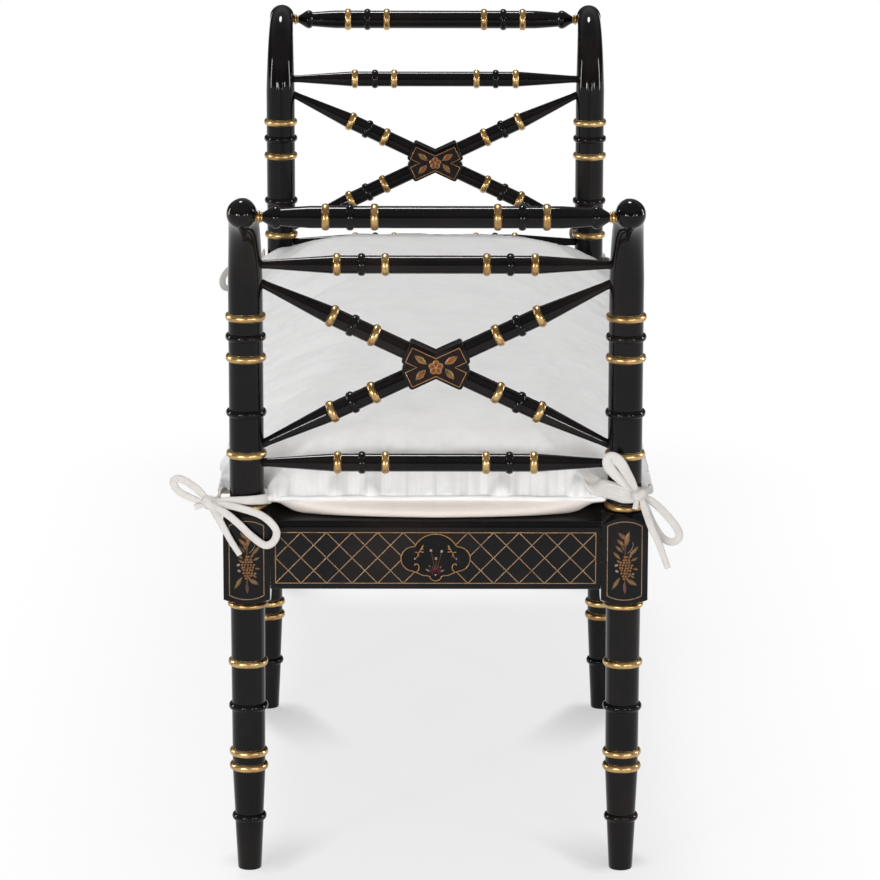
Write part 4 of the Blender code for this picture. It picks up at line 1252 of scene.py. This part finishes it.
# %% [markdown]
# ## The lattice
# Gold diamonds fill the panel from each end to the lobed frame, inside a thin border. All lines lean at
# one of two slopes, so each is found from where it meets the panel's top edge, and cut to the panel.

# %% Lattice panels on the seat rails
PANEL_MIDDLE = 0.3690
PANEL_RISE = 0.0291
FRAME_EDGE = 0.0218


def lattice_strokes(half_length, pitches):
    pitch = (half_length - FRAME_EDGE - 0.0142) / pitches
    slope = pitch / PANEL_RISE
    strokes = []
    for number in range(-2, pitches + 1):
        apex = half_length - number * pitch
        for lean in (-1, 1):
            ends = []
            for across in (apex, apex - 2 * pitch):
                across = min(max(across, FRAME_EDGE), half_length)
                ends.append((across, lean * (PANEL_RISE - (apex - across) / slope)))
            if ends[0][0] - ends[1][0] > 0.002:
                strokes += [(ends, False), ([(-across, up) for across, up in ends], False)]
    return strokes


def draw_panel(half_length, pitches):
    border = [(half_length, PANEL_RISE), (-half_length, PANEL_RISE), (-half_length, -PANEL_RISE), (half_length, -PANEL_RISE)]
    lattice = paint_lines(lattice_strokes(half_length, pitches), 0.0012, LINE_GOLD)
    return join([lattice, paint_lines([(border, True)], 0.0014, GOLD)] + draw_lobed_frame())


for span, pitches, kind in ((END_SPAN, 5, "end"), (SIDE_SPAN, 9, "side")):
    panel = draw_panel(span / 2 - 0.006, pitches)
    for node, (_, place) in rail_places.items():
        if node.startswith(kind):
            face = Matrix.Translation((END_FACE - POST_X, 0, PANEL_MIDDLE))
            drawing = copy_of(panel, node.replace("seat_rail", "panel_painting"))
            put(drawing, place @ face @ face_place(Vector(), Vector((1, 0, 0))))
            hang(drawing, ornament_paint, "gilt")
    print(kind, "panel with", len(panel.data.polygons), "faces")
    discard(panel)

# %% [markdown]
# ## Tablets on the blocks
# Every outer face of a block has a tall tablet with an arched top and foot, and a spray in it: a bunch of
# small flowers with leaves above, beside and below.

# %% Tablets
TABLET_HALF_WIDTH, TABLET_SIDE, TABLET_RISE = 0.0192, 0.0400, 0.0050
TABLET_MIDDLE = 0.3665


def tablet_outline():
    radius = (TABLET_HALF_WIDTH ** 2 + TABLET_RISE ** 2) / (2 * TABLET_RISE)
    spread = atan2(TABLET_HALF_WIDTH, radius - TABLET_RISE) * 180 / pi
    top = arc((0, TABLET_SIDE + TABLET_RISE - radius), radius, 90 - spread, 90 + spread, 10)
    return top + [(-across, -up) for across, up in top]


def draw_tablet():
    fern = [
        (-0.0030, 0.0284, 134, 0.0124, 0.0052), (-0.0046, 0.0210, 136, 0.0122, 0.0044),
        (0.0024, 0.0240, 76, 0.0210, 0.0058), (-0.0061, 0.0136, 137, 0.0124, 0.0036),
        (-0.0086, 0.0060, 133, 0.0126, 0.0038), (-0.0020, 0.0150, 116, 0.0090, 0.0026),
        (-0.0064, -0.0008, 140, 0.0070, 0.0028),
    ]
    blades = [
        (0.0103, 0.0114, 49, 0.0152, 0.0042), (0.0108, 0.0020, 26, 0.0088, 0.0032),
        (-0.0094, -0.0260, 238, 0.0170, 0.0044), (0.0076, -0.0243, -31, 0.0144, 0.0054),
        (0.0122, -0.0092, -6, 0.0064, 0.0028), (0.0064, 0.0058, 62, 0.0086, 0.0030),
        (0.0086, -0.0176, -40, 0.0070, 0.0028),
    ]
    bud = [(0.0004, -0.0314, -87, 0.0142, 0.0038)]

    def lighter_middles(leaves):
        return [(across, up, turn, 0.84 * length, 0.50 * width) for across, up, turn, length, width in leaves]

    bunch = []
    for row, count in enumerate((2, 3, 4, 5, 5, 4, 4, 3, 2)):
        for number in range(count):
            nudge = noise.noise_vector(Vector((number * 1.7, row * 2.3, 5.0))) * 0.0008
            across = 0.0010 + 0.0031 * (number - (count - 1) / 2) + 0.0007 * (row % 2) + nudge.x
            bunch.append((across, 0.0044 - 0.0031 * row + nudge.y, 40 * number + 70 * row, 0.0029, 0.0023))
    berries = [
        (-0.0091, -0.0050, 20, 0.0042, 0.0030), (-0.0084, -0.0118, -30, 0.0040, 0.0030),
        (0.0096, -0.0148, 0, 0.0028, 0.0022),
    ]
    curl = rounded([(0.0030, 0.0089), (0.0052, 0.0106), (0.0076, 0.0138), (0.0094, 0.0178), (0.0088, 0.0222)])
    stem = rounded([(0.0004, -0.0270), (0.0008, -0.0100), (0.0004, 0.0060), (0.0010, 0.0140), (0.0024, 0.0220)])
    return join([
        paint_lines([(tablet_outline(), True)], 0.0012, LINE_GOLD),
        paint_lines([(stem, False)], 0.0010, DARK_LEAF),
        paint_lines([(curl, False)], 0.0007, PALE),
        stamp(leaf_blank, fern + blades, DARK_LEAF),
        stamp(leaf_blank, lighter_middles(fern), BROWN_GOLD, 0.0001),
        stamp(leaf_blank, lighter_middles(blades), OLIVE, 0.0001),
        stamp(leaf_blank, bud, DULL_ROSE),
        stamp(dot_blank, bunch, BUNCH_BROWN, 0.0001),
        stamp(dot_blank, berries, PALE, 0.0001),
    ])


tablet = draw_tablet()
half_block = BLOCK_SIDE / 2
for side, y_sign in SIDES.items():
    for place, x_sign in (*ENDS.items(), ("middle", 0)):
        axis = Vector((x_sign * POST_X, y_sign * POST_Y, TABLET_MIDDLE))
        faces = [Vector((0, y_sign, 0))] + ([Vector((x_sign, 0, 0))] if x_sign else [])
        drawings = []
        for outward in faces:
            drawings.append(put(copy_of(tablet, "tablet"), face_place(axis + outward * half_block, outward)))
        drawing = join(drawings)
        drawing.name = drawing.data.name = f"tablet_painting_{side}_{place}"
        hang(drawing, ornament_paint, "gilt")
print("tablet with", len(tablet.data.polygons), "faces")
discard(tablet)

# %% [markdown]
# ## Faces of the X blocks
# The X block has a maroon ground inside a gold line that follows its edge, a rosette in the middle and a
# leaf in each arm. Both faces are painted, because the arms are seen from the seat as well.

# %% X block faces
def cross_outline(inset):
    reach, half = CROSS_REACH - inset, CROSS_WIDTH / 2 - inset
    c, s = cos(SPINDLE_ANGLE), sin(SPINDLE_ANGLE)
    quarter = [(0, half / c), (reach * c - half * s, reach * s + half * c), (reach * c + half * s, reach * s - half * c)]
    right = quarter + [(half / s, 0)] + [(across, -up) for across, up in reversed(quarter)]
    return right + [(-across, up) for across, up in reversed(right[1:-1])]


def draw_cross_face():
    lift = 0.0002
    gold_leaves = [(-0.0168, 0.0086, 143, 0.0165, 0.0076), (0.0152, -0.0072, -51, 0.0158, 0.0074)]
    warm_leaves = [(0.0168, 0.0082, 32, 0.0165, 0.0082), (-0.0168, -0.0084, 227, 0.0165, 0.0080)]
    veins = []
    for across, up, degrees, length, _ in gold_leaves + warm_leaves:
        reach = Vector((cos(radians(degrees)), sin(radians(degrees)))) * length * 0.42
        veins.append(([(across - reach.x, up - reach.y), (across + reach.x, up + reach.y)], False))
    petals = [(0.0047 * sin(radians(turn)), 0.0047 * cos(radians(turn)), 90 - turn) for turn in range(0, 360, 72)]

    def within(leaves, share):
        return [(across, up, turn, share * length, share * width) for across, up, turn, length, width in leaves]

    return join([
        plate(cross_outline(0.0040), lift, MAROON),
        paint_lines([(cross_outline(0.0040), True)], 0.0012, GOLD, lift),
        stamp(leaf_blank, gold_leaves + warm_leaves, OLD_GOLD, lift),
        stamp(leaf_blank, within(gold_leaves, 0.86), OCHRE, lift + 0.00008),
        stamp(leaf_blank, within(warm_leaves, 0.86), ORANGE, lift + 0.00008),
        paint_lines(veins, 0.0007, MAROON, lift + 0.00012),
        stamp(dot_blank, [(across, up, turn, 0.0078, 0.0078) for across, up, turn in petals], OLD_GOLD, lift),
        stamp(dot_blank, [(across, up, turn, 0.0066, 0.0066) for across, up, turn in petals], ORANGE, lift + 0.0001),
        stamp(leaf_blank, [(across * 0.8, up * 0.8, turn, 0.0060, 0.0014) for across, up, turn in petals], DARK_RED, lift + 0.0002),
        stamp(dot_blank, [(0, 0, 0, 0.0036, 0.0036)], GOLD, lift + 0.0002),
    ])


cross_face = draw_cross_face()
for end, x_sign in ENDS.items():
    drawings = []
    for outward in (Vector((1, 0, 0)), Vector((-1, 0, 0))):
        middle = Vector((x_sign * POST_X, 0, CROSS_HEIGHT - 0.0012)) + outward * CROSS_THICKNESS / 2
        drawings.append(put(copy_of(cross_face, "cross_face"), face_place(middle, outward)))
    drawing = join(drawings)
    drawing.name = drawing.data.name = f"cross_block_painting_{end}"
    hang(drawing, ornament_paint, "gilt")
print("X face with", len(cross_face.data.polygons), "faces")
for blank in (cross_face, leaf_blank, dot_blank):
    discard(blank)

# %% [markdown]
# ## The cushion
# The cushion is a bag of cotton, notched round the four arm posts and stuffed until its crown stands well
# above the seam. The seam has a welt of the same cloth, and the cloth above it lies in small gathers.
# A modelled dome looks too even, so the bag is filled by the cloth simulation: two flat panels are joined
# at the seam, shaped roughly, pinned along the seam and underneath, and blown up with a little spare
# cloth. The movement is capped, so the cushion keeps to its place in the frame.

# %% Panels of the cushion
cushion_low, cushion_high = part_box("seat_cushion")
REACH, HALF_WIDTH, CROWN = cushion_high.x, cushion_high.y, cushion_high.z
SEAM = SEAT_TOP + 0.0225
DECK = SEAT_TOP + 0.0005
COLUMNS, ROWS = 150, 54
BODY = REACH * (COLUMNS - 8) / COLUMNS
TONGUE = HALF_WIDTH * 21 / 27
BAND = 0.0030
RIM = [
    (REACH, -TONGUE), (REACH, TONGUE), (BODY, TONGUE), (BODY, HALF_WIDTH), (-BODY, HALF_WIDTH), (-BODY, TONGUE),
    (-REACH, TONGUE), (-REACH, -TONGUE), (-BODY, -TONGUE), (-BODY, -HALF_WIDTH), (BODY, -HALF_WIDTH), (BODY, -TONGUE),
]


def rim_place(x, y):
    """How far a point of the flat panel is from the seam, how far along the seam, and by which edge."""
    best, place, nearest, run = 9.0, 0.0, 0, 0.0
    for edge, ((x0, y0), (x1, y1)) in enumerate(zip(RIM, RIM[1:] + RIM[:1])):
        length = abs(x1 - x0) + abs(y1 - y0)
        share = ((x - x0) * (x1 - x0) + (y - y0) * (y1 - y0)) / length ** 2
        share = min(max(share, 0.0), 1.0)
        away = hypot(x - x0 - share * (x1 - x0), y - y0 - share * (y1 - y0))
        if away < best:
            best, place, nearest = away, run + share * length, edge
        run += length
    return best, place, nearest


def pulled_in(x, y):
    """The seam draws in between its corners."""
    ends = max(0.0, 1 - (y / TONGUE) ** 2) * (abs(x) / REACH) ** 6
    sides = max(0.0, 1 - (x / BODY) ** 2) * (abs(y) / HALF_WIDTH) ** 6
    return x * (1 - 0.005 * ends / REACH), y * (1 - 0.005 * sides / HALF_WIDTH)


clear_selection()
bpy.ops.mesh.primitive_grid_add(x_subdivisions=COLUMNS, y_subdivisions=ROWS, size=2)
cushion = bpy.context.object
cushion.name = cushion.data.name = "stuffed_cushion"
bpy.ops.object.mode_set(mode="EDIT")
bpy.ops.mesh.select_all(action="SELECT")
bpy.ops.transform.resize(value=(REACH, HALF_WIDTH, 1), center_override=(0, 0, 0))
bpy.ops.mesh.select_mode(type="FACE")
form = bmesh.from_edit_mesh(cushion.data)
for face in form.faces:
    middle = face.calc_center_median()
    face.select_set(abs(middle.x) > BODY and abs(middle.y) > TONGUE)
bmesh.update_edit_mesh(cushion.data)
bpy.ops.mesh.delete(type="FACE")
bpy.ops.mesh.select_all(action="SELECT")
bpy.ops.mesh.extrude_region_move(TRANSFORM_OT_translate={"value": (0, 0, 2 * BAND)})
bpy.ops.mesh.select_all(action="SELECT")
bpy.ops.mesh.normals_make_consistent(inside=False)
bpy.ops.object.mode_set(mode="OBJECT")
print("bag of", len(cushion.data.polygons), "faces")

# %% Rough shape and pins
CORNERS = [corner for index, corner in enumerate(RIM) if index not in (2, 5, 8, 11)]
OPEN_EDGES = {0: Vector((1, 0)), 3: Vector((0, 1)), 6: Vector((-1, 0)), 9: Vector((0, -1))}
SHOULDER, FULLER = 0.075, 0.024
FULLER_FROM, FULLER_RUN = -0.15, 0.30

sewn = cushion.vertex_groups.new(name="sewn")
for point in cushion.data.vertices:
    flat = point.co.to_2d()
    upper = point.co.z > BAND
    away, _, edge = rim_place(flat.x, flat.y)
    corner = min((Vector(corner) for corner in CORNERS), key=lambda corner: (flat - corner).length)
    apart = (flat - corner).length
    pinch = 0.7 * exp(-apart / 0.025) + 0.3 * exp(-apart / 0.090)
    x, y = pulled_in(flat.x, flat.y)
    if upper:
        further = min(max((FULLER_FROM - flat.x) / FULLER_RUN, 0.0), 1.0)
        shoulder = SHOULDER - FULLER * further * (0.85 - 0.45 * flat.y / HALF_WIDTH)
        fullness = 0.35 * (1 - exp(-away / 0.014)) + 0.65 * (1 - exp(-away / shoulder))
        z = SEAM + BAND + (CROWN - 0.005 - SEAM - BAND) * fullness * (1 - 0.4 * pinch)
    else:
        z = SEAM - BAND - (SEAM - BAND - DECK) * (1 - exp(-(away / (0.010 + 0.030 * pinch)) ** 1.9))
        if edge in OPEN_EDGES:
            fullness = 4.2 if edge in (0, 6) else 1.8
            lip = fullness * away * exp(-away / 0.020) * (1 - pinch) ** 2
            x, y = Vector((x, y)) + OPEN_EDGES[edge] * lip
    if abs(corner.x) > BODY + 0.001:
        ear = 0.006 * exp(-apart / 0.016)
        x, y = x + ear * (1 if x > 0 else -1), y + 0.5 * ear * (1 if y > 0 else -1)
    point.co = (x, y, z)
    if away < 0.001 or not upper:
        sewn.add([point.index], 1.0, "REPLACE")
start = [point.co.copy() for point in cushion.data.vertices]

# %% Fill the bag
FULLEST = 0.012
filling = cushion.modifiers.new("filling", "CLOTH")
cloth = filling.settings
cloth.quality = 6
cloth.mass = 0.25
cloth.tension_stiffness = 14
cloth.compression_stiffness = 8
cloth.shear_stiffness = 5
cloth.bending_stiffness = 4.0
cloth.use_pressure = True
cloth.uniform_pressure_force = 3.0
cloth.shrink_min = -0.012
cloth.vertex_group_mass = "sewn"
cloth.effector_weights.gravity = 0.0
filling.collision_settings.use_collision = False
filling.point_cache.frame_start = 1
filling.point_cache.frame_end = 20
for number in range(1, 21):
    bpy.context.scene.frame_set(number)
pick(cushion)
bpy.ops.object.modifier_apply(modifier=filling.name)
bpy.context.scene.frame_set(1)
moved = []
for point, first in zip(cushion.data.vertices, start):
    move = point.co - first
    moved.append(move.length)
    if move.length > FULLEST:
        point.co = first + move * (FULLEST / move.length)
print("cloth moved", round(max(moved), 4), "m at most,", round(sum(moved) / len(moved), 4), "m on average")

# %% [markdown]
# ## Gathers and welt
# Where the upper cloth is sewn to the seam it is a little too long, so it lies in small upright gathers
# that fade out up the side. They are moved into the mesh after one subdivision, and finer ones come from
# the finish, which reads how far along the seam a point lies and paints shade into their valleys. The welt
# is a cord covered in the same cloth, drawn as a tube along the seam.

# %% Gathers
pick(cushion)
finer = cushion.modifiers.new("finer", "SUBSURF")
finer.levels = finer.render_levels = 1
bpy.ops.object.modifier_apply(modifier=finer.name)
gathers, runs, painted_underside_shades = [], [], []
outward = [point.normal.copy() for point in cushion.data.vertices]
for point, out in zip(cushion.data.vertices, outward):
    away, run, _ = rim_place(point.co.x, point.co.y)
    upper = point.co.z > SEAM + 0.001
    runs.append(run)
    # Marks the cloth below the seam, which the finish paints with a warmer, darker shade.
    painted_underside_shades.append(1.0 if point.co.z < SEAM - 0.001 else 0.0)
    gathers.append(exp(-away / 0.022) if upper else 0.35 * exp(-away / 0.012))
    if upper:
        fold = noise.noise(Vector((run * 48, away * 9, 3.1)))
        band = (1 - exp(-away / 0.005)) * exp(-away / 0.034)
        point.co += out * (0.024 * fold * band)
for name, values in (("gather", gathers), ("rim_run", runs), ("painted_underside_shade", painted_underside_shades)):
    cushion.data.attributes.new(name, "FLOAT", "POINT").data.foreach_set("value", values)
print("gathers along", round(max(runs), 3), "m of seam")


# %% Welt
WELT_RADIUS = 0.0030


def rounded_rim(corner, step):
    """The seam's line with its corners rounded, in small steps."""
    line = []
    for index, (x, y) in enumerate(RIM):
        before, after = RIM[index - 1], RIM[(index + 1) % len(RIM)]
        into = Vector((x - before[0], y - before[1])).normalized()
        out = Vector((after[0] - x, after[1] - y)).normalized()
        here = Vector((x, y))
        start_point, end_point = here - into * corner, here + out * corner
        if line:
            previous = line[-1]
            count = max(1, int((start_point - previous).length / step))
            line += [previous.lerp(start_point, number / count) for number in range(1, count)]
        for number in range(7):
            share = number / 6
            line.append(start_point.lerp(here, share).lerp(here.lerp(end_point, share), share))
    return line


curve = bpy.data.curves.new("welt", "CURVE")
curve.dimensions = "3D"
curve.bevel_depth = WELT_RADIUS
curve.bevel_resolution = 3
line = rounded_rim(0.006, 0.006)
spline = curve.splines.new("POLY")
spline.points.add(len(line) - 1)
spline.use_cyclic_u = True
for knot, point in zip(spline.points, line):
    x, y = pulled_in(point.x, point.y)
    knot.co = (x, y, SEAM + 0.0006 * noise.noise(Vector((x * 40, y * 40, 0))), 1)
welt = bpy.data.objects.new("welt", curve)
bpy.context.collection.objects.link(welt)
pick(welt)
bpy.ops.object.convert(target="MESH")
welt = bpy.context.object
close_up(welt)
pick(cushion, welt)
bpy.ops.object.join()
bpy.ops.object.shade_smooth()
hang(cushion, cotton, "off_white_cloth", "seat_cushion")
top = max(point.co.z for point in cushion.data.vertices)
print("cushion with", len(cushion.data.polygons), "faces, crown at", round(top, 4), "m")

# %% [markdown]
# ## Floor and light
# The bench stands in a white studio: a pale floor that runs out into white, a broad soft light from above
# and in front, and two small lamps at the height of the arms that put a bright dot on each ball. The white
# is the floor's own colour further out, seen by the camera and in reflections, so it adds no light. The
# sky is dim near the horizon, which keeps the upper sides of the lacquer black. Beside each foot a soft
# shadow is painted into the floor's colour, running inwards under the seat.

# %% Floor
NEAR_SHADE, MIDDLE_SHADE = (-0.159, 0.083), (0.220, 0.096)
SHADE_WIDTH = 0.050


def foot_shade(finish, along, across, foot, run):
    """A soft patch of painted shadow that starts at a foot and runs inwards under the seat."""
    run = Vector(run)
    way = run.normalized()
    ahead, inwards = along - foot, POST_Y - across
    gone = way.x * ahead + way.y * inwards
    beside = way.y * ahead - way.x * inwards
    started = finish.span(gone, -0.020, 0.020)
    faded = finish.span(gone, 0.0, run.length, 1.0, 0.0)
    return started * faded * finish.span(beside * beside, 0.0, SHADE_WIDTH ** 2, 1.0, 0.0)


def make_floor(name):
    finish = Finish(name, {"Roughness": 0.6, "Specular IOR Level": 0.15})
    place = finish.place()
    mottle = finish.cloud(place, 3.0, 3.0)
    colour = finish.mix(mottle, (0.80, 0.80, 0.80, 1), (0.83, 0.83, 0.83, 1))
    finish.wire(Base_Color=colour)
    apart = place
    for operation, limit in (("ABSOLUTE", (0, 0, 0)), ("SUBTRACT", (1.15, 0.18, 0)), ("MAXIMUM", (0, 0, 0))):
        apart = finish.add("ShaderNodeVectorMath", {"operation": operation}, {0: apart, 1: limit}, "Vector")
    apart = finish.add("ShaderNodeVectorMath", {"operation": "LENGTH"}, {0: apart}, "Value")
    further = finish.span(apart, 0.0, 0.45, 0.77, 1.0)
    along = finish.add("ShaderNodeSeparateXYZ", {}, {"Vector": place}, "X")
    sizes = finish.add("ShaderNodeVectorMath", {"operation": "ABSOLUTE"}, {0: place}, "Vector")
    either_end = finish.add("ShaderNodeSeparateXYZ", {}, {"Vector": sizes}, "X")
    across = finish.add("ShaderNodeSeparateXYZ", {}, {"Vector": sizes}, "Y")
    # Painted shadow: the floor's white is darkened in a soft patch beside each foot.
    further = further * (1 - 0.30 * foot_shade(finish, either_end, across, POST_X, NEAR_SHADE))
    further = further * (1 - 0.36 * foot_shade(finish, along, across, 0, MIDDLE_SHADE))
    seen = finish.add("ShaderNodeLightPath", {}, {}, "Is Camera Ray")
    mirrored = finish.add("ShaderNodeLightPath", {}, {}, "Is Glossy Ray")
    passed = finish.add("ShaderNodeLightPath", {}, {}, "Is Transmission Ray")
    white = finish.add("ShaderNodeEmission", {}, {"Color": (1, 1, 1, 1), "Strength": 1.0}, "Emission")
    shown = finish.add(
        "ShaderNodeMixShader", {},
        {0: further * (seen + mirrored + passed), 1: Wire(finish, finish.surface.outputs[0]), 2: white}, "Shader",
    )
    finish.feed(finish.tree.nodes["Material Output"].inputs["Surface"], shown)
    return finish.material


clear_selection()
bpy.ops.mesh.primitive_plane_add(size=60)
ground = bpy.context.object
ground.name = "floor"
ground.data.materials.append(make_floor("studio_floor"))
print("floor laid at height 0")

# %% World and lamps
class Sky(Finish):
    """A world whose nodes are written as a finish's are."""

    def __init__(self, name):
        self.world = bpy.data.worlds.new(name)
        self.world.use_nodes = True
        self.tree = self.world.node_tree


sky = Sky("studio")
bpy.context.scene.world = sky.world
height = sky.add("ShaderNodeSeparateXYZ", {}, {"Vector": sky.add("ShaderNodeTexCoord", {}, {}, "Generated")}, "Z")
shade = sky.mix(sky.span(height, 0.12, 0.60), (0.05, 0.05, 0.05, 1), (0.38, 0.38, 0.38, 1))
seen = sky.add("ShaderNodeLightPath", {}, {}, "Is Camera Ray")
sky.feed(sky.tree.nodes["Background"].inputs["Color"], sky.mix(seen, shade, (1, 1, 1, 1)))


def add_lamp(name, kind, place, target, energy, size, height=0.0, lean=0.0):
    lamp = bpy.data.lights.new(name, kind)
    lamp.energy = energy
    if kind == "SUN":
        lamp.angle = size
    else:
        lamp.shape = "RECTANGLE"
        lamp.size = size
        lamp.size_y = height or size
    holder = bpy.data.objects.new(name, lamp)
    holder.location = place
    holder.rotation_mode = "QUATERNION"
    aim = (Vector(target) - Vector(place)).to_track_quat("-Z", "Y")
    holder.rotation_quaternion = aim @ Quaternion((0, 0, 1), lean)
    bpy.context.collection.objects.link(holder)
    return holder


add_lamp("overhead_light", "SUN", (-1.7, -0.3, 4.0), (0, 0, 0.4), 1.7, radians(14))
add_lamp("left_lamp", "AREA", (4.0, -2.5, 0.90), (0.6, 0, 0.55), 62, 0.60)
add_lamp("right_lamp", "AREA", (3.6, 2.9, 0.90), (0.6, 0, 0.55), 32, 0.60)
for name, side in (("left", -1), ("right", 1)):
    strip_place = (4.43, 1.46 * side, 0.80)
    add_lamp(name + "_strip", "AREA", strip_place, (0.65, 0, 0.50), 22, 0.22, 0.90, radians(-28 * side))
    panel = add_lamp(name + "_panel", "AREA", (-0.3, 3.0 * side, 1.15), (-0.63, 0.2 * side, 0.75), 36, 0.35, 1.4)
    panel.visible_diffuse = False

# %% Finish the frame's remaining solids
for node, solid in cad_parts.items():
    if not solid.hide_render:
        solid.data.materials.clear()
        solid.data.materials.append(board if "cleat" in node or node == "cross_rail" else lacquer)
